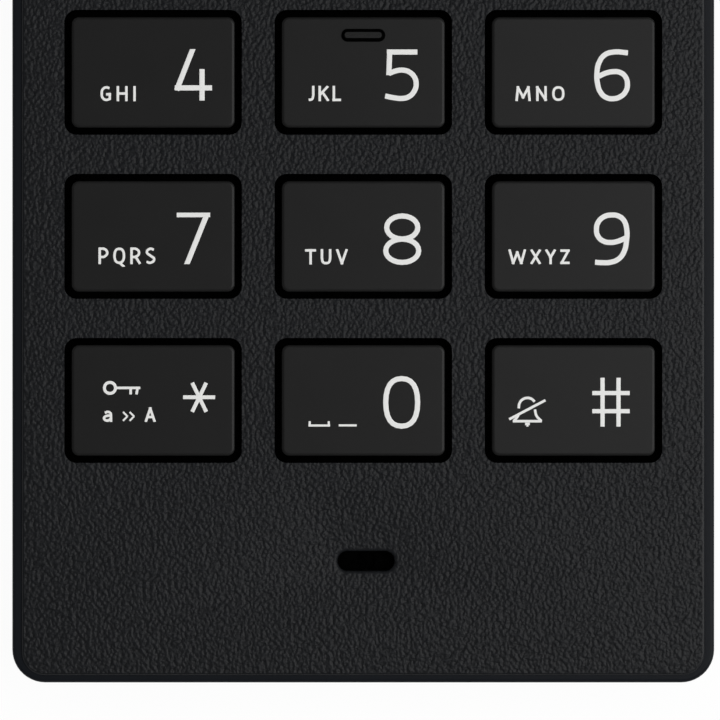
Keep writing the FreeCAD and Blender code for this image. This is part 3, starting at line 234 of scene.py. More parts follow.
class PhoneColours(bpy.types.PropertyGroup):
    """Colours of the phone's finishes."""

    shell: tint("Shell", "Grained covers", shade(17, 19, 22.5))
    cap: tint("Key Caps", "Smooth satin key caps", shade(27, 27, 27))
    ink: tint("Legends", "Printed digits, letters and signs", shade(244, 244, 242))
    steel: tint("Steel", "Stamped plates of the slide", shade(150, 151, 153))
    call: tint("Call Sign", "Sign on the call key", shade(70, 176, 84))
    end: tint("End Sign", "Sign on the end key", shade(206, 62, 52))


def sizes():
    return bpy.context.scene.phone_sizes


def colours():
    return bpy.context.scene.phone_colours


def full(colour):
    """A user's colour with its alpha."""
    return (*colour, 1.0)


def scaled(colour, factor):
    """A colour made lighter or darker."""
    return (*(channel * factor for channel in colour[:3]), 1.0)


# ---- finishes
def grained_shell(graph, top):
    """Leather-like grain on the flat face at height top, fading out below it."""
    z = graph.axes()[2]
    cell = 1.0 / sizes().grain_pitch
    place = graph.place((cell, cell * 0.88, cell))
    wander = graph.node("ShaderNodeTexNoise", {}, {"Vector": place, "Scale": 0.7, "Detail": 1.0})
    bent = graph.jog(place, wander["Color"], 0.5)
    wrinkles = graph.noise(bent, 1.15, 0.6, 0.45)
    pores = graph.cells(bent, 1.25, "SMOOTH_F1")
    height = wrinkles * 1.7 - pores * 0.35
    fade = 0.06
    flat = graph.ramp((z - (top - fade)) / fade, (0.0, 0.0), (1.0, 1.0))
    patches = graph.noise(place, 0.03, 2.0)
    tone = graph.ramp(wrinkles + (patches - 0.5) * 0.1, (0.25, 0.0), (0.75, 1.0))
    colour = graph.mix(tone, scaled(colours().shell, 0.72), scaled(colours().shell, 1.2))
    graph.surface(colour, 0.5 + wrinkles * 0.1,
                  Normal=graph.bump(height, 0.085, flat), Specular_IOR_Level=0.3)


def cover_satin(graph, tone, sheen):
    """A smooth part of the two face covers, in the shell colour scaled by tone: painted light and
    shade, beside a real sheen.
    """
    place = graph.place()
    haze = graph.noise(place, 0.3, 2.0)
    speckle = graph.noise(place, 16.0, 2.0, 0.6)
    colour = graph.mix(haze, scaled(colours().shell, tone * 0.92),
                       scaled(colours().shell, tone * 1.08))
    graph.surface(colour, 0.34 + haze * 0.06,
                  Normal=graph.bump(speckle, 0.004, 0.3), Specular_IOR_Level=sheen)


def painted_groove_shade(graph):
    """Painted shade: near black, for the unlit walls and floors of the grooves round the keys and
    the other places that lie in deep shade.
    """
    shade_mottle = graph.noise(graph.place(), 1.5, 3.0)
    graph.surface(graph.mix(shade_mottle, grey(1), grey(4)), 0.8 + shade_mottle * 0.1, Specular_IOR_Level=0.0)


def back_shell(graph):
    """Spark-eroded texture of the rear shells and the battery cover."""
    place = graph.place()
    speckle = graph.noise(place, 7.5, 3.0, 0.7)
    pits = graph.cells(place, 5.2)
    patches = graph.noise(place, 0.06, 2.0)
    height = speckle * 0.7 + pits * 0.5
    tone = graph.ramp(speckle + (patches - 0.5) * 0.3, (0.3, 0.0), (0.75, 1.0))
    colour = graph.mix(tone, scaled(colours().shell, 0.65), scaled(colours().shell, 1.25))
    normal = graph.bump(height, 0.02, 0.6)
    graph.surface(colour, 0.45 + speckle * 0.2, Normal=normal, Specular_IOR_Level=0.35)


def key_plastic(graph):
    """Satin key caps."""
    place = graph.place()
    haze = graph.noise(place, 0.35, 2.0)
    speckle = graph.noise(place, 22.0, 2.0, 0.6)
    colour = graph.mix(haze, scaled(colours().cap, 0.96), scaled(colours().cap, 1.04))
    graph.surface(colour, 0.38 + haze * 0.05,
                  Normal=graph.bump(speckle, 0.004, 0.25), Specular_IOR_Level=0.2)


def side_key_plastic(graph):
    """Polished side keys with the faint orange peel of a moulding."""
    place = graph.place()
    peel = graph.noise(place, 1.6, 2.0)
    smear = graph.noise(place, 0.5, 3.0)
    colour = graph.mix(smear, scaled(colours().shell, 0.55), scaled(colours().shell, 0.8))
    graph.surface(colour, 0.16 + smear * 0.14, Normal=graph.bump(peel, 0.01, 0.4), Coat_Weight=0.3)


def ink(graph, colour):
    """Screen-printed ink, a little uneven."""
    mottle = graph.noise(graph.place(), 9.0, 3.0, 0.6)
    tone = graph.mix(mottle, scaled(colour, 0.92), full(colour))
    graph.surface(tone, 0.5 + mottle * 0.15,
                  Normal=graph.bump(mottle, 0.004, 0.4), Specular_IOR_Level=0.3)


def window_glass(graph):
    """The display window: black print behind a polished face, with the dark panel in it."""
    x, y, _ = graph.axes()
    low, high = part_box("display_window")
    side_border, end_border, rise, half_lip = 5.7, 8.1, 2.0, 0.15
    across = (high.x - low.x) / MM / 2 - side_border
    along = (high.y - low.y) / MM / 2 - end_border
    middle = (high.y + low.y) / MM / 2 + rise
    edge = (abs(x) - across).larger(abs(y - middle) - along)
    view = edge.below(0.0)
    lip = abs(edge - half_lip).below(half_lip)
    smear = graph.noise(graph.place(turn=(0, 0, 0.6)), 0.12, 4.0, 0.6)
    panel = graph.mix(smear, shade(20, 22, 26), shade(25, 27, 32))
    border = graph.mix(lip, grey(6), grey(15))
    colour = graph.mix(view, border, panel)
    graph.surface(colour, 0.05 + smear * 0.07, Coat_Weight=0.6, Coat_Roughness=0.03, IOR=1.5)


def display_panel(graph):
    """The dark front of the display module."""
    sheen = graph.noise(graph.place(), 0.2, 2.0)
    colour = graph.mix(sheen, shade(18, 20, 24), shade(26, 28, 33))
    graph.surface(colour, 0.12 + sheen * 0.1)


def brushed(graph, colour, rough, stretch=(0.4, 9.0, 9.0)):
    """Sheet metal with fine rolling lines and a little staining."""
    lines = graph.noise(graph.place(tuple(1000 * part for part in stretch)), 1.0, 4.0, 0.65)
    stain = graph.noise(graph.place(), 0.11, 3.0)
    tone = graph.mix(lines, scaled(colour, 0.82), scaled(colour, 1.08))
    tone = graph.mix(stain * 0.35, tone, scaled(colour, 0.7))
    graph.surface(tone, rough + lines * 0.18 + stain * 0.06, Metallic=1.0,
                  Normal=graph.bump(lines, 0.006, 0.35))


def moulded(graph, colour, rough, spread=0.12, depth=0.01):
    """Plain moulded plastic or rubber with a fine texture."""
    place = graph.place()
    texture = graph.noise(place, 6.0, 3.0, 0.6)
    cloud = graph.noise(place, 0.15, 2.0)
    tone = graph.mix(cloud, scaled(colour, 1 - spread), scaled(colour, 1 + spread))
    graph.surface(tone, rough + texture * 0.12, Normal=graph.bump(texture, depth, 0.4))


def circuit_board(graph):
    """Green solder mask over copper tracks."""
    place = graph.place()
    tracks = graph.node("ShaderNodeTexBrick", {"offset": 0.5}, {
        "Vector": place, "Scale": 0.9, "Mortar Size": 0.06, "Brick Width": 1.6, "Row Height": 0.42})
    copper = tracks["Fac"]
    cloud = graph.noise(place, 0.3, 2.0)
    mask = graph.mix(cloud, shade(14, 62, 42), shade(20, 78, 52))
    colour = graph.mix(copper * 0.6, mask, shade(62, 122, 74))
    graph.surface(colour, 0.32 + cloud * 0.12,
                  Normal=graph.bump(copper, 0.02, 0.5), Coat_Weight=0.3)


def flex_film(graph):
    """Amber film with its copper lines running along it."""
    x = graph.axes()[0]
    ripple, half_width = 15.7, 3.6
    track = (x * ripple).sine().above(0.1) * abs(x).below(half_width)
    cloud = graph.noise(graph.place(), 0.4, 2.0)
    film = graph.mix(cloud, shade(150, 82, 20), shade(176, 104, 32))
    colour = graph.mix(track * 0.8, film, shade(196, 128, 62))
    graph.surface(colour, 0.28 + cloud * 0.1, Coat_Weight=0.4, Normal=graph.bump(track, 0.02, 0.4))


def mesh_cloth(graph):
    """Fine woven acoustic cloth."""
    x, y, _ = graph.axes()
    ripple = 31.4
    weave = ((x + y) * ripple).sine() * ((x - y) * ripple).sine()
    colour = graph.mix(graph.ramp(weave, (0.0, 0.0), (0.6, 1.0)), grey(8), grey(46))
    graph.surface(colour, 0.7 + weave * 0.05, Normal=graph.bump(weave, 0.03, 0.8))


def lens_glass(graph):
    """Coated camera window: dark, with a purplish reflection of its coating painted in a ring
    towards its rim.
    """
    x, y, _ = graph.axes()
    low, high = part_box("camera_window")
    rim, ring_radius, half_ring = 4.0, 2.35, 0.12
    up = y - (low.y + high.y) / MM / 2
    radius = (x * x + up * up) ** 0.5
    coating_reflection = graph.ramp(radius / rim, (0.0, 0.0), (0.45, 0.15), (0.62, 1.0), (0.7, 0.1), (1.0, 0.0))
    smear = graph.noise(graph.place(), 0.5, 3.0)
    colour = graph.mix(coating_reflection, grey(6), shade(34, 22, 52))
    colour = graph.mix(abs(radius - ring_radius).below(half_ring), colour, grey(70))
    graph.surface(colour, 0.04 + smear * 0.05, Coat_Weight=1.0, Coat_Roughness=0.02)


def battery_wrap(graph):
    """Printed foil round the cell, with two plain bands."""
    y = graph.axes()[1]
    cloud = graph.noise(graph.place(), 0.2, 3.0)
    middle, spread, half_band = -15.8, 21.0, 1.1
    band = abs(abs(y - middle) - spread).below(half_band)
    tone = graph.mix(cloud, shade(44, 48, 56), shade(54, 58, 67))
    colour = graph.mix(band, tone, shade(168, 170, 172))
    graph.surface(colour, 0.35 + cloud * 0.15, Normal=graph.bump(cloud, 0.05, 0.3))


PLAIN_FINISHES = (
    back_shell, key_plastic, side_key_plastic, window_glass, display_panel, circuit_board,
    flex_film, mesh_cloth, lens_glass, battery_wrap, painted_groove_shade,
)
FINISHES = {
    **{wire.__name__: wire for wire in PLAIN_FINISHES},
    "grained_shell": lambda graph: grained_shell(graph, DECK_TOP / MM),
    "slide_grain": lambda graph: grained_shell(graph, SLIDE_TOP / MM),
    # The rim's colour is painted lighter and the facet's darker than the shell's, to set how bright
    # they read under the lamps.
    "rim_satin": lambda graph: cover_satin(graph, 1.45, 0.08),
    "facet_satin": lambda graph: cover_satin(graph, 0.85, 0.3),
    "pressed_steel": lambda graph: brushed(graph, colours().steel, 0.28),
    "tray_metal": lambda graph: brushed(graph, shade(172, 172, 170), 0.38, (2.0, 2.0, 2.0)),
    "can_metal": lambda graph: brushed(graph, shade(190, 190, 186), 0.22, (3.0, 3.0, 3.0)),
    "spring_steel": lambda graph: brushed(graph, shade(176, 172, 160), 0.2),
    "screw_metal": lambda graph: brushed(graph, shade(44, 44, 46), 0.36, (4.0, 4.0, 4.0)),
    "foil": lambda graph: brushed(graph, shade(198, 198, 196), 0.25, (3.0, 3.0, 3.0)),
    # Silicone made near black, as painted shade where it shows in the slots and grooves.
    "silicone": lambda graph: moulded(graph, shade(9, 9, 10), 0.85, 0.05),
    "black_rubber": lambda graph: moulded(graph, shade(22, 22, 23), 0.7, 0.15, 0.02),
    "rail_plastic": lambda graph: moulded(graph, shade(58, 58, 60), 0.38, 0.08),
    "component_plastic": lambda graph: moulded(graph, shade(26, 26, 28), 0.45),
    "sim_plastic": lambda graph: moulded(graph, shade(226, 226, 224), 0.35, 0.02, 0.004),
    "white_ink": lambda graph: ink(graph, colours().ink),
    "green_ink": lambda graph: ink(graph, colours().call),
    "red_ink": lambda graph: ink(graph, colours().end),
}
made_finishes = {}


def finish(name):
    """The material of that name, made the first time it is asked for."""
    if name not in made_finishes:
        made_finishes[name], graph = new_material(name)
        FINISHES[name](graph)
    return made_finishes[name]


# ---- shapes
def placed(name, data):
    """A new object in the scene."""
    obj = bpy.data.objects.new(name, data)
    bpy.context.scene.collection.objects.link(obj)
    return obj


def centre(node):
    """The middle of a node's box."""
    low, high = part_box(node)
    return (low + high) / 2


def show(name, mesh, material, body, *stands_for):
    """Put a mesh in the scene with its finish, on its body, in place of the nodes named."""
    obj = placed(name, mesh)
    mesh.materials.clear()
    mesh.materials.append(finish(material))
    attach(obj, body)
    if stands_for:
        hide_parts(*stands_for)
    return obj


# Edges past the first angle stay sharp, under the second are dissolved, past the third broken.
SHARP_ANGLE = math.radians(32.0)
FLAT_ANGLE = math.radians(0.5)
BREAK_ANGLE = math.radians(50)
# Points of a solid, and of a new shape, that lie this near are one.
SOLID_MERGE = 1e-7
MERGE = 1e-8
HAIR = 0.005 * MM


def smooth(shape):
    """Smooth faces, with the edges past an angle kept sharp."""
    for face in shape.faces:
        face.smooth = True
    for edge in shape.edges:
        if edge.is_manifold:
            edge.smooth = edge.calc_face_angle(0.0) < SHARP_ANGLE


def even_normals(obj):
    """Keep large flat faces flat beside their rounded edges."""
    obj.modifiers.new("even_normals", "WEIGHTED_NORMAL").keep_sharp = True
    return obj


def to_mesh(shape, name):
    """Turn a bmesh into a mesh datablock and let the bmesh go."""
    bmesh.ops.recalc_face_normals(shape, faces=shape.faces)
    smooth(shape)
    mesh = bpy.data.meshes.new(name)
    shape.to_mesh(mesh)
    shape.free()
    return mesh


def bevel(shape, geometry, width, segments=3, affect="EDGES"):
    """Round over edges, or the corners of a flat face."""
    bmesh.ops.bevel(shape, geom=geometry, offset=width, offset_type="OFFSET", affect=affect,
                    segments=segments, profile=0.5, material=-1)


def slab(shape, width, length, corner, bottom, top, x=0.0, y=0.0, edge=0.0):
    """Add a round-cornered slab between two heights; edge rounds its top. All in metres."""
    before = set(shape.faces)
    made = bmesh.ops.create_grid(shape, x_segments=1, y_segments=1, size=0.5)["verts"]
    bmesh.ops.scale(shape, vec=(width, length, 1.0), verts=made)
    bmesh.ops.translate(shape, vec=(x, y, bottom), verts=made)
    if corner:
        bevel(shape, made, corner, 6, "VERTICES")
    base = [face for face in shape.faces if face not in before]
    grown = bmesh.ops.extrude_face_region(shape, geom=base, use_keep_orig=True)["geom"]
    raised = [item for item in grown if isinstance(item, bmesh.types.BMVert)]
    bmesh.ops.translate(shape, vec=(0, 0, top - bottom), verts=raised)
    lid = next(item for item in grown if isinstance(item, bmesh.types.BMFace))
    if edge:
        bevel(shape, list(lid.edges), edge, 4)
    return lid


def soften_slot(shape, node, half_width, half_height=1.2 * MM):
    """Round over the sound slot that lies above a node, on the face of its cover."""
    middle = centre(node)
    level = max(vert.co.z for vert in shape.verts)

    def on_rim(vert):
        return (abs(vert.co.x - middle.x) < half_width
                and abs(vert.co.y - middle.y) < half_height and vert.co.z > level - 2 * HAIR)

    rim = [edge for edge in shape.edges if all(on_rim(vert) for vert in edge.verts)]
    bevel(shape, rim, sizes().slot_round, 5)


def cover_from(node, name, material, slot=None):
    """A moulded cover: the node's form in clean faces, with its sharp edges broken."""
    shape = bmesh.new()
    shape.from_mesh(frame["nodes"][node].data)
    bmesh.ops.remove_doubles(shape, verts=shape.verts, dist=SOLID_MERGE)
    bmesh.ops.dissolve_limit(shape, angle_limit=FLAT_ANGLE, verts=shape.verts, edges=shape.edges)
    if slot:
        soften_slot(shape, *slot)
    smooth(shape)
    mesh = bpy.data.meshes.new(name)
    shape.to_mesh(mesh)
    shape.free()
    cover = show(name, mesh, material, BODY_OF[node], node)
    broken = cover.modifiers.new("broken_edges", "BEVEL")
    broken.width = sizes().edge_break
    broken.segments = 2
    broken.material = 0
    broken.limit_method = "ANGLE"
    broken.angle_limit = BREAK_ANGLE
    broken.harden_normals = True
    return cover


def recoat(obj, material, chosen):
    """Give another finish to the faces whose corners the test chooses."""
    mesh = obj.data
    mesh.materials.append(finish(material))
    for face in mesh.polygons:
        if chosen([mesh.vertices[number].co for number in face.vertices]):
            face.material_index = len(mesh.materials) - 1


def paint_groove_shade(cap, node, depth=0.4 * MM):
    """Faces of a cap that reach this deep are painted near black, as the shade of the grooves."""
    recoat(cap, "painted_groove_shade",
           lambda spots: min(spot.z for spot in spots) < KEY_FACE[node] - depth)


def recoat_cover(cover, node):
    """A face cover: outside, a smooth facet, rim and sides, whose colours are painted darker and
    lighter; within, its openings and hollow painted near black as their shade.
    """
    low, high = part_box(node)
    border = 1.6 * MM
    facet_foot = 0.19 * MM

    def below(spots, drop):
        return min(spot.z for spot in spots) < high.z - drop - HAIR

    def within(spots):
        return all(low.x + border < spot.x < high.x - border
                   and low.y + border < spot.y < high.y - border for spot in spots)

    recoat(cover, "facet_satin", lambda spots: below(spots, 0.0) and not within(spots))
    recoat(cover, "rim_satin", lambda spots: below(spots, facet_foot) and not within(spots))
    # The walls of the openings and the hollow under the face get painted shade.
    recoat(cover, "painted_groove_shade", lambda spots: below(spots, sizes().slot_round) and within(spots))


# ---- legends
# The pull of a closed stroke's four points: 0.55 is an ellipse, more is squarer.
FULLNESS = {"loop": 0.56, "oval": 0.66}


def oval(x, y, across, up, fullness):
    """A closed loop of four points, with the pulls of their handles."""
    spots = [(x, y + up), (x + across, y), (x, y - up), (x - across, y)]
    pulls = [(across * fullness, 0), (0, -up * fullness), (-across * fullness, 0),
             (0, up * fullness)]
    return spots, pulls


def draw(curve, kind, *form):
    """Add one stroke to the curve: a line, a bend, a free curve, a loop or a squarer oval.

    Every leg of a bend runs on past its ends, so that its corners are full.
    Each stroke lies a hair above the one before, so that no two faces share a place.
    """
    run_past, lift = 1.1, 0.08
    half = curve.bevel_depth
    if kind == "bend":
        for start, end in zip(form, form[1:]):
            start, end = Vector(start), Vector(end)
            run_on = (end - start).normalized() * half / MM * run_past
            draw(curve, "line", start - run_on, end + run_on)
        return
    rise = len(curve.splines) * half * lift
    if kind == "line":
        spline = curve.splines.new("POLY")
        spline.points.add(len(form) - 1)
        for point, (x, y) in zip(spline.points, form):
            point.co = (x * MM, y * MM, rise, 1.0)
        return
    spline = curve.splines.new("BEZIER")
    if kind == "curve":
        spline.bezier_points.add(len(form) - 1)
        for point, (x, y) in zip(spline.bezier_points, form):
            point.co = (x * MM, y * MM, rise)
            point.handle_left_type = "AUTO"
            point.handle_right_type = "AUTO"
        return
    spots, pulls = oval(*form, FULLNESS[kind])
    spline.bezier_points.add(len(spots) - 1)
    spline.use_cyclic_u = True
    for point, (x, y), (pull_x, pull_y) in zip(spline.bezier_points, spots, pulls):
        point.co = (x * MM, y * MM, rise)
        point.handle_left = ((x - pull_x) * MM, (y - pull_y) * MM, rise)
        point.handle_right = ((x + pull_x) * MM, (y + pull_y) * MM, rise)


def mesh_of(curve):
    """The mesh that a curve or a text comes to."""
    holder = placed(curve.name, curve)
    bpy.context.view_layer.update()
    seen = holder.evaluated_get(bpy.context.evaluated_depsgraph_get())
    mesh = bpy.data.meshes.new_from_object(seen)
    bpy.data.objects.remove(holder)
    return mesh


def strokes(name, drawing, width, foot=None, head=None):
    """The strokes of a sign as a flat low ridge of ink, cut level at its foot and head."""
    curve = bpy.data.curves.new(name, "CURVE")
    curve.dimensions = "3D"
    curve.bevel_depth = width / 2
    curve.bevel_resolution = 3
    curve.resolution_u = 6
    curve.use_fill_caps = True
    for stroke in drawing:
        draw(curve, *stroke)
    mesh = mesh_of(curve)
    mesh.transform(Matrix.Diagonal((1.0, 1.0, 2 * sizes().ink_height / width, 1.0)))
    if foot is not None:
        spare = 0.004
        shape = bmesh.new()
        shape.from_mesh(mesh)
        for level, side in ((foot - spare, -1), (head + spare, 1)):
            made = bmesh.ops.bisect_plane(
                shape, geom=[*shape.verts, *shape.edges, *shape.faces], dist=MERGE,
                plane_co=(0, level * MM, 0), plane_no=(0, side, 0), clear_outer=True)["geom_cut"]
            rim = [part for part in made if isinstance(part, bmesh.types.BMEdge)]
            bmesh.ops.holes_fill(shape, edges=rim, sides=0)
        shape.to_mesh(mesh)
        shape.free()
    return mesh


def lettering(name, words, left, right, foot, height):
    """Capital letters from the table, set between left and right, in millimetres."""
    width = sizes().letter_stroke
    stroke = width / MM
    tall = height - stroke
    wide = sum(GLYPHS[letter][0] for letter in words) * tall
    gap = (right - left - wide - len(words) * stroke) / max(len(words) - 1, 1)
    drawing = []
    x = left + stroke / 2
    for letter in words:
        across, glyph = GLYPHS[letter]
        for kind, *form in glyph:
            if kind == "oval":
                middle_x, middle_y, half_x, half_y = (part * tall for part in form)
                drawing.append((kind, x + middle_x, foot + stroke / 2 + middle_y, half_x, half_y))
            else:
                drawing.append((kind, *((x + u * tall, foot + stroke / 2 + v * tall)
                                        for u, v in form)))
        x += across * tall + stroke + gap
    tail = Q_TAIL if "Q" in words else 0.0
    return strokes(name, drawing, width, foot - tail, foot + height)


def print_on(node, meshes, material="white_ink"):
    """Print the meshes on a key's face, as one piece that rides with the key."""
    shape = bmesh.new()
    for mesh in meshes:
        shape.from_mesh(mesh)
        bpy.data.meshes.remove(mesh)
    middle = centre(node) * PRINT_SCALE
    bmesh.ops.translate(shape, vec=(middle.x, middle.y - PRINT_DROP, KEY_FACE[node]),
                        verts=shape.verts)
    bmesh.ops.remove_doubles(shape, verts=shape.verts, dist=MERGE)
    return show(f"{node}_legend", to_mesh(shape, f"{node}_legend"), material, BODY_OF[node])


# ---- the keys and their signs
NUMBER_KEYS = [name for name in BODY_OF if name in BODIES and name.startswith("key_")]
SLIDE_KEYS = ["call_key", "end_key", "left_softkey", "right_softkey"]
# The height of each key's face; key 5's own box ends at its bar.
KEY_FACE = {name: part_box("key_1")[1].z for name in NUMBER_KEYS}
KEY_FACE.update({name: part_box(name)[1].z for name in (*SLIDE_KEYS, "nav_rocker", "select_key")})

# The legends are printed in one pass, from a film a little smaller than the spread of the keys.
PRINT_SCALE = 0.9965
PRINT_DROP = 0.005 * MM
# Strokes in millimetres from the middle of the key's cap. Some digits end level at both heights.
LEVEL_CUT = (-2.12, 1.67)
CUT_DIGITS = ("key_1", "key_4", "key_7")
DIGITS = {
    "key_1": [("line", (3.3, 1.72), (3.3, -2.13)), ("line", (3.42, 1.62), (2.1, 0.98))],
    "key_2": [
        ("curve", (1.72, 1.22), (2.3, 1.46), (2.9, 1.5), (3.5, 1.3), (3.8, 0.8), (3.68, 0.24),
         (3.2, -0.42), (2.5, -1.16), (1.78, -1.86)),
        ("line", (1.62, -1.92), (4.1, -1.92)),
    ],
    "key_3": [
        ("curve", (1.7, 1.36), (2.3, 1.5), (2.95, 1.48), (3.5, 1.24), (3.74, 0.74), (3.5, 0.26),
         (2.95, 0.0), (2.25, -0.06)),
        ("curve", (2.6, -0.06), (3.3, -0.16), (3.8, -0.55), (3.88, -1.05), (3.6, -1.6),
         (3.0, -1.95), (2.3, -1.98), (1.62, -1.84)),
    ],
    "key_4": [
        ("line", (2.98, 1.92), (1.69, -1.36)),
        ("line", (1.56, -1.19), (4.31, -1.19)),
        ("line", (3.57, 0.2), (3.57, -2.13)),
    ],
    "key_5": [
        ("line", (1.75, 1.46), (4.0, 1.46)),
        ("line", (1.96, 1.65), (1.89, -0.25)),
        ("curve", (1.9, -0.13), (2.42, 0.07), (2.95, 0.12), (3.43, -0.03), (3.78, -0.39),
         (3.91, -0.87), (3.78, -1.41), (3.37, -1.84), (2.85, -1.97), (2.28, -1.92), (1.62, -1.79)),
    ],
    "key_6": [
        ("curve", (4.08, 1.4), (3.0, 1.46), (2.36, 1.25), (1.95, 0.7), (1.79, -0.01),
         (1.83, -0.87), (2.08, -1.56), (2.49, -1.91), (2.97, -1.99), (3.48, -1.86), (3.89, -1.49),
         (4.04, -0.93), (3.89, -0.37), (3.5, -0.05), (2.97, 0.01), (2.44, -0.1), (1.91, -0.34)),
    ],
    "key_7": [("line", (1.7, 1.53), (4.17, 1.53)), ("line", (4.0, 1.72), (2.4, -2.25))],
    "key_8": [("loop", 2.88, 0.58, 1.15, 0.85), ("loop", 2.88, -1.14, 1.22, 0.86)],
    "key_9": [
        ("curve", (1.65, -1.99), (2.18, -2.02), (2.81, -1.99), (3.4, -1.74), (3.8, -1.19),
         (3.97, -0.41), (3.99, 0.44), (3.77, 1.11), (3.37, 1.43), (2.85, 1.5), (2.3, 1.37),
         (1.88, 0.97), (1.75, 0.46), (1.87, -0.08), (2.25, -0.42), (2.81, -0.53), (3.39, -0.42),
         (3.91, -0.19)),
    ],
    "key_0": [("oval", 2.84, -0.26, 1.18, 1.76)],
}
# Letters: width, then strokes, in parts of a letter's height between its stroke lines.
Q_TAIL = 0.2
STEM = ("bend", (0.0, 0.0), (0.0, 1.0))
BOWL = ("curve", (0.0, 1.0), (0.34, 0.98), (0.54, 0.72), (0.34, 0.44), (0.0, 0.42))
GLYPHS = {
    "A": (0.68, [("bend", (0.0, 0.0), (0.34, 1.0), (0.68, 0.0)),
                 ("line", (0.14, 0.3), (0.54, 0.3))]),
    "B": (0.56, [STEM,
                 ("curve", (0.0, 1.0), (0.32, 0.98), (0.5, 0.77), (0.32, 0.55), (0.0, 0.54)),
                 ("curve", (0.3, 0.54), (0.56, 0.28), (0.34, 0.01), (0.0, 0.0))]),
    "C": (0.6, [("curve", (0.6, 0.93), (0.36, 1.0), (0.08, 0.82), (0.0, 0.5), (0.08, 0.18),
                 (0.36, 0.0), (0.6, 0.07))]),
    "D": (0.66, [STEM,
                 ("curve", (0.0, 1.0), (0.3, 0.98), (0.6, 0.8), (0.66, 0.5), (0.6, 0.2),
                  (0.3, 0.02), (0.0, 0.0))]),
    "E": (0.48, [("bend", (0.48, 1.0), (0.0, 1.0), (0.0, 0.0), (0.48, 0.0)),
                 ("line", (0.0, 0.52), (0.5, 0.52))]),
    "F": (0.48, [("bend", (0.48, 1.0), (0.0, 1.0), (0.0, 0.0)), ("line", (0.0, 0.5), (0.5, 0.5))]),
    "G": (0.64, [("curve", (0.62, 0.93), (0.36, 1.0), (0.08, 0.84), (0.0, 0.5), (0.08, 0.16),
                  (0.34, 0.0), (0.64, 0.07)), ("bend", (0.64, 0.1), (0.64, 0.45), (0.46, 0.45))]),
    "H": (0.68, [STEM, ("bend", (0.68, 0.0), (0.68, 1.0)), ("line", (0.0, 0.51), (0.68, 0.51))]),
    "I": (0.0, [STEM]),
    "J": (0.36, [("line", (0.36, 1.14), (0.36, 0.3)),
                 ("curve", (0.36, 0.32), (0.26, 0.06), (0.0, 0.0))]),
    "K": (0.6, [STEM, ("bend", (0.58, 1.0), (0.1, 0.48)), ("bend", (0.22, 0.6), (0.62, 0.0))]),
    "L": (0.46, [("bend", (0.0, 1.0), (0.0, 0.0), (0.46, 0.0))]),
    "M": (1.04, [("bend", (0.0, 0.0), (0.1, 1.0), (0.52, 0.2), (0.94, 1.0), (1.04, 0.0))]),
    "N": (0.66, [("bend", (0.0, 0.0), (0.0, 1.0), (0.66, 0.0), (0.66, 1.0))]),
    "O": (0.8, [("oval", 0.4, 0.5, 0.4, 0.5)]),
    "P": (0.54, [STEM, BOWL]),
    "Q": (0.7, [("oval", 0.34, 0.5, 0.34, 0.5), ("line", (0.34, 0.02), (0.7, -0.3))]),
    "R": (0.56, [STEM, BOWL, ("bend", (0.3, 0.42), (0.56, 0.0))]),
    "S": (0.54, [("curve", (0.52, 0.93), (0.26, 1.0), (0.02, 0.77), (0.27, 0.51), (0.54, 0.25),
                  (0.28, 0.0), (0.0, 0.07))]),
    "T": (0.64, [("bend", (0.0, 1.0), (0.64, 1.0)), ("bend", (0.32, 1.0), (0.32, 0.0))]),
    "U": (0.64, [("line", (0.0, 1.14), (0.0, 0.34)), ("line", (0.64, 1.14), (0.64, 0.34)),
                 ("curve", (0.0, 0.36), (0.09, 0.08), (0.32, 0.0), (0.55, 0.08), (0.64, 0.36))]),
    "V": (0.7, [("bend", (0.0, 1.0), (0.35, 0.0), (0.7, 1.0))]),
    "W": (1.22, [("bend", (0.0, 1.0), (0.28, 0.0), (0.61, 0.84), (0.94, 0.0), (1.22, 1.0))]),
    "X": (0.62, [("bend", (0.0, 0.0), (0.62, 1.0)), ("bend", (0.0, 1.0), (0.62, 0.0))]),
    "Y": (0.64, [("bend", (0.0, 1.0), (0.32, 0.46), (0.64, 1.0)),
                 ("bend", (0.32, 0.46), (0.32, 0.0))]),
    "Z": (0.54, [("bend", (0.0, 1.0), (0.54, 1.0), (0.0, 0.0), (0.54, 0.0))]),
    "a": (0.8, [("curve", (0.1, 0.88), (0.42, 1.0), (0.74, 0.84), (0.8, 0.5)),
                ("line", (0.8, 0.55), (0.8, -0.3)),
                ("curve", (0.8, 0.56), (0.3, 0.54), (0.0, 0.29), (0.24, 0.02), (0.55, 0.04),
                 (0.8, 0.26))]),
}
LETTERS = {
    "key_2": [("ABC", -4.1, -1.45, -2.16, 1.11)],
    "key_3": [("DEF", -4.1, -1.6, -2.16, 1.11)],
    "key_4": [("GHI", -3.94, -1.33, -2.17, 1.11)],
    "key_5": [("JKL", -4.13, -1.65, -2.17, 1.13)],
    "key_6": [("MNO", -4.24, -0.61, -2.16, 1.1)],
    "key_7": [("PQRS", -4.09, 0.12, -2.12, 1.22)],
    "key_8": [("TUV", -4.29, -1.16, -2.15, 1.13)],
    "key_9": [("WXYZ", -4.75, -0.24, -2.13, 1.09)],
    "key_star": [("a", -3.77, -2.97, -1.7, 0.83), ("A", -0.66, 0.17, -1.7, 1.08)],
}
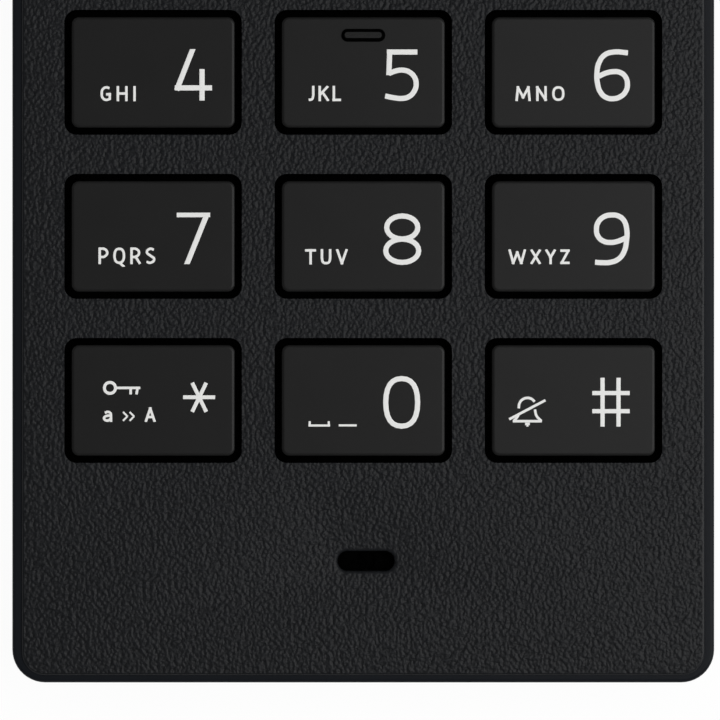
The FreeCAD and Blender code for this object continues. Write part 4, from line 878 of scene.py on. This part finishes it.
# Signs beside the letters, and the large star and hash: stroke width, then the strokes.
SIGNS = {
    "key_star": [
        (0.28, [
            ("line", (2.17, 0.12), (4.54, 0.12)),
            ("line", (2.84, 1.19), (3.88, -0.96)),
            ("line", (3.88, 1.19), (2.84, -0.96)),
        ]),
        (0.22, [("loop", -3.24, 0.81, 0.41, 0.41)]),
        (0.19, [
            ("line", (-2.81, 0.81), (-0.99, 0.81)),
            ("line", (-1.71, 0.82), (-1.71, 0.33)),
            ("line", (-1.2, 0.82), (-1.28, 0.33)),
        ]),
        (0.14, [
            ("line", (-2.27, -0.97), (-1.94, -1.3)), ("line", (-1.94, -1.28), (-2.27, -1.62)),
            ("line", (-1.78, -0.97), (-1.45, -1.3)), ("line", (-1.45, -1.28), (-1.78, -1.62)),
        ]),
    ],
    "key_0": [
        (0.16, [
            ("line", (-3.96, -1.65), (-3.96, -2.05)),
            ("line", (-2.55, -1.65), (-2.55, -2.05)),
            ("line", (-4.05, -1.97), (-2.45, -1.97)),
            ("line", (-1.81, -1.96), (-0.48, -1.96)),
        ]),
    ],
    "key_hash": [
        (0.31, [
            ("line", (2.2, 1.56), (2.2, -2.05)),
            ("line", (3.38, 1.56), (3.38, -2.05)),
            ("line", (1.44, 0.43), (4.21, 0.43)),
            ("line", (1.44, -0.91), (4.21, -0.91)),
        ]),
        (0.19, [
            ("curve", (-4.0, -0.7), (-3.93, -0.3), (-3.71, -0.04), (-3.36, 0.07), (-3.04, -0.01),
             (-2.82, -0.21)),
            ("curve", (-2.79, -0.78), (-2.76, -1.0), (-2.67, -1.27), (-2.32, -1.64)),
            ("curve", (-4.0, -1.15), (-4.1, -1.34), (-4.37, -1.64)),
            ("line", (-4.43, -1.65), (-2.28, -1.65)),
            ("line", (-4.7, -1.51), (-2.02, -0.1)),
            ("line", (-3.53, -1.85), (-3.17, -1.85)),
        ]),
        (0.22, [("line", (-3.43, -1.94), (-3.27, -1.94))]),
    ],
    "key_1": [
        (0.2, [("loop", -3.75, -1.62, 0.42, 0.42), ("loop", -2.15, -1.62, 0.42, 0.42),
               ("line", (-3.75, -2.05), (-2.15, -2.05))]),
    ],
}
HANDSET = [("curve", (-2.0, -0.35), (-1.1, 0.28), (0.0, 0.5), (1.1, 0.28), (2.0, -0.35))]
DASH = [("line", (-1.5, 0.0), (1.5, 0.0))]
# Signs of the display half: ink, stroke width and strokes.
SLIDE_SIGNS = {
    "call_key": ("green_ink", 0.62, HANDSET),
    "end_key": ("red_ink", 0.62, HANDSET),
    "left_softkey": ("white_ink", 0.34, DASH),
    "right_softkey": ("white_ink", 0.34, DASH),
    "nav_rocker": ("white_ink", 0.26, [
        ("line", (-0.8, 5.5), (0.06, 6.16)), ("line", (-0.06, 6.16), (0.8, 5.5)),
        ("line", (-0.8, -5.5), (0.06, -6.16)), ("line", (-0.06, -6.16), (0.8, -5.5))]),
    "select_key": ("white_ink", 0.26, [("loop", 0.0, 0.0, 0.85, 0.85)]),
}
# Signs moulded on the side keys, in millimetres along and up the key from its middle.
SIDE_SIGNS = {
    "volume_rocker": [
        ("line", (5.3, 0.0), (6.3, 0.0)),
        ("line", (-6.3, 0.0), (-5.3, 0.0)), ("line", (-5.8, -0.5), (-5.8, 0.5)),
    ],
    "camera_key": [("loop", 0.0, 0.0, 0.46, 0.46)],
}


# ---- operators
class PHONE_OT_carried(bpy.types.Operator):
    """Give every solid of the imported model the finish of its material"""

    bl_idname = "phone.carried"
    bl_label = "Finish Carried Solids"

    def execute(self, context):
        for name, obj in frame["nodes"].items():
            # The microphone boot gets the near-black painted shade, so that the slot above it reads
            # dark.
            material = finish("painted_groove_shade" if name == "mic_boot" else SLOT_OF[name])
            for slot in obj.material_slots:
                slot.material = material
        return {"FINISHED"}


# Half the width of the area in which each sound slot is rounded over.
MICROPHONE_SLOT = 2.6 * MM
RECEIVER_SLOT = 4.8 * MM


class PHONE_OT_shells(bpy.types.Operator):
    """Build the five moulded covers with their edges broken"""

    bl_idname = "phone.shells"
    bl_label = "Covers"

    def execute(self, context):
        for node, name, material, slot in (
                ("base_front_cover", "keypad_deck", "grained_shell",
                 ("microphone", MICROPHONE_SLOT)),
                ("slide_front_cover", "display_deck", "slide_grain",
                 ("receiver", RECEIVER_SLOT))):
            recoat_cover(cover_from(node, name, material, slot), node)
        for node, name in (("base_rear_cover", "rear_shell"), ("battery_cover", "back_panel"),
                           ("slide_rear_cover", "slide_back")):
            cover_from(node, name, "back_shell")
        return {"FINISHED"}


# A moulded sign stands this many times higher than a printed one.
RELIEF = 5.0
CROWN = 0.09 * MM
CROWN_ROUND = 0.1 * MM
GROOVE = 0.52 * MM
FLANGE_LAP = 0.4 * MM
FLANGE_CORNER = 0.91 * MM
NUMBER_FLANGE = 0.3 * MM
SLIDE_FLANGE = 0.25 * MM
# The raised bar of key 5 and the thin black lip round its foot, a painted shadow line: width,
# length and corner radius.
BAR = (3.1 * MM, 0.8 * MM, 0.39 * MM)
BAR_SHADOW_LIP = (3.26 * MM, 0.96 * MM, 0.47 * MM)
BAR_SHADOW_LIP_HEIGHT = 0.01 * MM
BAR_PLACE = 2.73 * MM
BAR_ROUNDNESS = 0.9


def key_cap(node, flange):
    """A key's cap with its rounded top, over the flange that holds it under the deck."""
    low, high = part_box(node)
    middle = centre(node)
    face = KEY_FACE[node]
    reach = 2 * (GROOVE + FLANGE_LAP)
    across, along = high.x - low.x, high.y - low.y
    shape = bmesh.new()
    shoulder = slab(shape, across - reach, along - reach, sizes().cap_corner, low.z,
                    face - CROWN, middle.x, middle.y)
    outer = list(shoulder.edges)
    bmesh.ops.inset_region(shape, faces=[shoulder], thickness=sizes().cap_edge, depth=CROWN,
                           use_even_offset=True)
    bevel(shape, outer, CROWN_ROUND)
    slab(shape, across, along, FLANGE_CORNER, low.z, low.z + flange, middle.x, middle.y)
    if node == "key_5":
        bar_y = middle.y + BAR_PLACE
        slab(shape, *BAR_SHADOW_LIP, face, face + BAR_SHADOW_LIP_HEIGHT, middle.x, bar_y)
        slab(shape, *BAR, face, high.z, middle.x, bar_y, (high.z - face) * BAR_ROUNDNESS)
    name = f"{node}_cap"
    cap = even_normals(show(name, to_mesh(shape, name), "key_plastic", BODY_OF[node], node))
    paint_groove_shade(cap, node)
    # The bar's flank and the lip round its foot get painted shade: a black line round the bar, in
    # one strength all round.
    if node == "key_5":
        recoat(cap, "painted_groove_shade", lambda spots: (
            max(spot.z for spot in spots) > face + HAIR
            and min(spot.z for spot in spots) < high.z - HAIR))


class PHONE_OT_number_keys(bpy.types.Operator):
    """Build the twelve caps of the keypad"""

    bl_idname = "phone.number_keys"
    bl_label = "Number Keys"

    def execute(self, context):
        for node in NUMBER_KEYS:
            key_cap(node, NUMBER_FLANGE)
        return {"FINISHED"}


class PHONE_OT_slide_keys(bpy.types.Operator):
    """Build the keys below the display"""

    bl_idname = "phone.slide_keys"
    bl_label = "Display Keys"

    def execute(self, context):
        for node in SLIDE_KEYS:
            key_cap(node, SLIDE_FLANGE)
        for node in ("nav_rocker", "select_key"):
            paint_groove_shade(cover_from(node, f"{node}_cap", "key_plastic"), node)
        return {"FINISHED"}


SIDE_KEY_ROUND = 0.12 * MM
SIDE_SIGN_STROKE = 0.2 * MM


class PHONE_OT_side_keys(bpy.types.Operator):
    """Build the volume rocker and the camera key"""

    bl_idname = "phone.side_keys"
    bl_label = "Side Keys"

    def execute(self, context):
        for node, drawing in SIDE_SIGNS.items():
            broken = cover_from(node, f"{node}_bar", "side_key_plastic").modifiers["broken_edges"]
            broken.width = SIDE_KEY_ROUND
            broken.segments = 3
            low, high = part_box(node)
            middle = centre(node)
            side = math.copysign(1.0, middle.x)
            face = high.x if side > 0 else low.x
            mesh = strokes(f"{node}_sign", drawing, SIDE_SIGN_STROKE)
            mesh.transform(Matrix(((0, 0, side * RELIEF, face), (side, 0, 0, middle.y),
                                   (0, 1, 0, middle.z), (0, 0, 0, 1))))
            show(f"{node}_sign", mesh, "side_key_plastic", BODY_OF[node])
        return {"FINISHED"}


class PHONE_OT_legends(bpy.types.Operator):
    """Print the digits, letters and signs on the keys"""

    bl_idname = "phone.legends"
    bl_label = "Legends"

    def execute(self, context):
        for node in NUMBER_KEYS:
            level = LEVEL_CUT if node in CUT_DIGITS else ()
            meshes = [strokes("digit", DIGITS.get(node, ()), sizes().digit_stroke, *level)]
            for letters in LETTERS.get(node, ()):
                meshes.append(lettering("letters", *letters))
            for width, drawing in SIGNS.get(node, ()):
                meshes.append(strokes("sign", drawing, width * MM))
            print_on(node, meshes)
        for node, (ink_name, width, drawing) in SLIDE_SIGNS.items():
            print_on(node, [strokes("sign", drawing, width * MM)], ink_name)
        return {"FINISHED"}


class PHONE_OT_display(bpy.types.Operator):
    """Build the display window with its polished edge"""

    bl_idname = "phone.display"
    bl_label = "Display Window"

    def execute(self, context):
        cover_from("display_window", "front_window", "window_glass")
        return {"FINISHED"}


def ring(name, inner, outer, bottom, top, x, y, material, body, edge):
    """A turned ring about an upright axis: its section is spun once round."""
    shape = bmesh.new()
    made = bmesh.ops.create_grid(shape, x_segments=1, y_segments=1, size=0.5)["verts"]
    bmesh.ops.rotate(shape, matrix=Matrix.Rotation(math.radians(90), 3, "X"), verts=made)
    bmesh.ops.scale(shape, vec=(outer - inner, 1.0, top - bottom), verts=made)
    bmesh.ops.translate(shape, vec=((outer + inner) / 2, 0.0, (top + bottom) / 2), verts=made)
    bevel(shape, made, edge, affect="VERTICES")
    outline = list(shape.edges)
    bmesh.ops.delete(shape, geom=list(shape.faces), context="FACES_ONLY")
    bmesh.ops.spin(shape, geom=outline, axis=(0, 0, 1), cent=(0, 0, 0), angle=math.tau,
                   steps=64, use_merge=True)
    bmesh.ops.remove_doubles(shape, verts=shape.verts, dist=MERGE)
    bmesh.ops.translate(shape, vec=(x, y, 0.0), verts=shape.verts)
    return show(name, to_mesh(shape, name), material, body)


class PHONE_OT_camera(bpy.types.Operator):
    """Build the trim ring and the window of the camera in the back"""

    bl_idname = "phone.camera"
    bl_label = "Camera"

    def execute(self, context):
        low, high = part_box("camera_window")
        x, y = (low.x + high.x) / 2, (low.y + high.y) / 2
        reach = (high.x - low.x) / 2
        width, gap, proud, sunk, edge = 0.7 * MM, 0.05 * MM, 0.13 * MM, 0.02 * MM, 0.05 * MM
        trim = ring("camera_trim", reach - gap - width, reach - gap, low.z - proud, low.z + sunk,
                    x, y, "can_metal", "base", edge)
        cover_from("camera_window", "camera_glass", "lens_glass")
        return {"FINISHED"}


class PHONE_OT_microphone(bpy.types.Operator):
    """Build the felt in front of the microphone"""

    bl_idname = "phone.microphone"
    bl_label = "Microphone Felt"

    def execute(self, context):
        low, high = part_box("microphone")
        across, corner, thickness, edge = 1.39 * MM, 0.69 * MM, 0.12 * MM, 0.05 * MM
        shape = bmesh.new()
        slab(shape, across, across, corner, high.z, high.z + thickness,
             (low.x + high.x) / 2, (low.y + high.y) / 2, edge)
        # The felt is given the near-black painted shade: partly its own black, partly painted shade
        # of the slot.
        felt = show("microphone_felt", to_mesh(shape, "microphone_felt"), "painted_groove_shade", "base")
        return {"FINISHED"}


class PHONE_OT_port(bpy.types.Operator):
    """Build the contact tongue inside the system connector"""

    bl_idname = "phone.port"
    bl_label = "System Connector"

    def execute(self, context):
        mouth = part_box("usb_connector")[1].y
        middle = centre("usb_connector")
        width, length, half, inset = 5.2 * MM, 3.4 * MM, 0.3 * MM, 2.6 * MM
        shape = bmesh.new()
        slab(shape, width, length, 0.0, middle.z - half, middle.z + half,
             middle.x, mouth - inset)
        tongue = show("port_tongue", to_mesh(shape, "port_tongue"), "component_plastic", "base")
        width, length, inset = 0.4 * MM, 2.6 * MM, 2.5 * MM
        pitch, proud, sunk = 0.95 * MM, 0.03 * MM, 0.01 * MM
        contacts = bmesh.new()
        for step in range(-2, 3):
            slab(contacts, width, length, 0.0, middle.z - half - proud,
                 middle.z - half + sunk, middle.x + step * pitch, mouth - inset)
        pins = show("port_contacts", to_mesh(contacts, "port_contacts"), "spring_steel", "base")
        return {"FINISHED"}


def lamp(name, place, aim, width, length, watts):
    """A soft rectangular lamp aimed at a point; it is not seen by the camera itself."""
    light = bpy.data.lights.new(name, "AREA")
    light.shape = "RECTANGLE"
    light.size = width
    light.size_y = length
    light.energy = watts
    obj = placed(name, light)
    obj.location = place
    obj.rotation_euler = (Vector(aim) - Vector(place)).to_track_quat("-Z", "Y").to_euler()
    obj.visible_camera = False


def seen_rays(graph):
    """One for rays that show or mirror the surroundings, none for those that light the phone."""
    path = graph.node("ShaderNodeLightPath")
    return (path["Is Camera Ray"] + path["Is Glossy Ray"] + path["Is Transmission Ray"]).above(0.5)


def stage_floor():
    """A wide white floor under the phone, which keeps a faint shadow."""
    shape = bmesh.new()
    radius, gap = 3.0, 0.02 * MM
    bmesh.ops.create_circle(shape, cap_ends=True, segments=64, radius=radius)
    bmesh.ops.translate(shape, vec=(0, 0, -gap), verts=shape.verts)
    bmesh.ops.recalc_face_normals(shape, faces=shape.faces)
    floor = placed("floor", bpy.data.meshes.new("floor"))
    shape.to_mesh(floor.data)
    shape.free()
    material, graph = new_material("white_floor")
    lit = graph.node("ShaderNodeBsdfPrincipled", {}, {
        "Base Color": grey(250), "Roughness": 0.9, "Specular IOR Level": 0.0})["BSDF"]
    white = graph.node("ShaderNodeEmission", {}, {"Strength": 1.0})["Emission"]
    graph.output(graph.node("ShaderNodeMixShader", {}, {
        0: seen_rays(graph) * 0.95, 1: lit, 2: white})["Shader"])
    floor.data.materials.append(material)


def stage_world():
    """An even light all round; seen or mirrored, it is white at the horizon and dim overhead."""
    world = bpy.data.worlds.new("studio")
    bpy.context.scene.world = world
    graph = Graph(world)
    direction = graph.node("ShaderNodeTexCoord")["Generated"]
    height = graph.node("ShaderNodeSeparateXYZ", {}, {0: direction})[2]
    backdrop = graph.ramp(height, (0.0, 1.0), (0.05, 1.0), (0.25, 0.08), (1.0, 0.05))
    lighting = graph.ramp(height, (0.0, 0.1), (0.7, 0.45), (1.0, 0.5))
    colour = graph.mix(seen_rays(graph), lighting, backdrop)
    background = graph.node("ShaderNodeBackground", {}, {"Color": colour, "Strength": 1.0})
    graph.node("ShaderNodeOutputWorld", {}, {"Surface": background["Background"]})


def stage_camera():
    """A long lens straight above the lower half of the keypad."""
    camera = bpy.data.cameras.new("camera")
    camera.lens = 150.0
    camera.sensor_width = 36.0
    camera.clip_start = 0.01
    camera.clip_end = 10.0
    view_width, aim_x, aim_y = 53.23 * MM, -0.24 * MM, -32.11 * MM
    distance = view_width / camera.sensor_width * camera.lens
    obj = placed("camera", camera)
    obj.location = (aim_x, aim_y, DECK_TOP + distance)
    bpy.context.scene.camera = obj


class PHONE_OT_stage(bpy.types.Operator):
    """Set up the floor, the light and the camera"""

    bl_idname = "phone.stage"
    bl_label = "Stage"

    def execute(self, context):
        bpy.context.scene.view_settings.view_transform = "Standard"
        stage_floor()
        stage_world()
        stage_camera()
        lamp("softbox", place=(0.47, -0.01, 0.65), aim=(0.0, 0.0, 0.0),
             width=0.55, length=0.8, watts=4.4)
        return {"FINISHED"}


OPERATORS = (
    PHONE_OT_carried, PHONE_OT_shells, PHONE_OT_number_keys, PHONE_OT_slide_keys,
    PHONE_OT_side_keys, PHONE_OT_legends, PHONE_OT_display, PHONE_OT_camera,
    PHONE_OT_microphone, PHONE_OT_port, PHONE_OT_stage,
)


class PHONE_PT_panel(bpy.types.Panel):
    """The phone's steps and settings"""

    bl_idname = "PHONE_PT_panel"
    bl_label = "Slider Phone"
    bl_space_type = "VIEW_3D"
    bl_region_type = "UI"
    bl_category = "Slider Phone"

    def draw(self, context):
        for settings in (context.scene.phone_sizes, context.scene.phone_colours):
            box = self.layout.box()
            for name in settings.__annotations__:
                box.prop(settings, name)
        column = self.layout.column(align=True)
        for operator in OPERATORS:
            column.operator(operator.bl_idname)


CLASSES = (PhoneSizes, PhoneColours, *OPERATORS, PHONE_PT_panel)


def register():
    for cls in CLASSES:
        bpy.utils.register_class(cls)
    bpy.types.Scene.phone_sizes = bpy.props.PointerProperty(type=PhoneSizes)
    bpy.types.Scene.phone_colours = bpy.props.PointerProperty(type=PhoneColours)


def unregister():
    del bpy.types.Scene.phone_colours
    del bpy.types.Scene.phone_sizes
    for cls in reversed(CLASSES):
        bpy.utils.unregister_class(cls)


def main():
    register()
    for operator in OPERATORS:
        category, name = operator.bl_idname.split(".")
        result = getattr(getattr(bpy.ops, category), name)()
        if result != {"FINISHED"}:
            raise RuntimeError(f"{operator.bl_idname} did not finish")


if __name__ == "__main__":
    main()
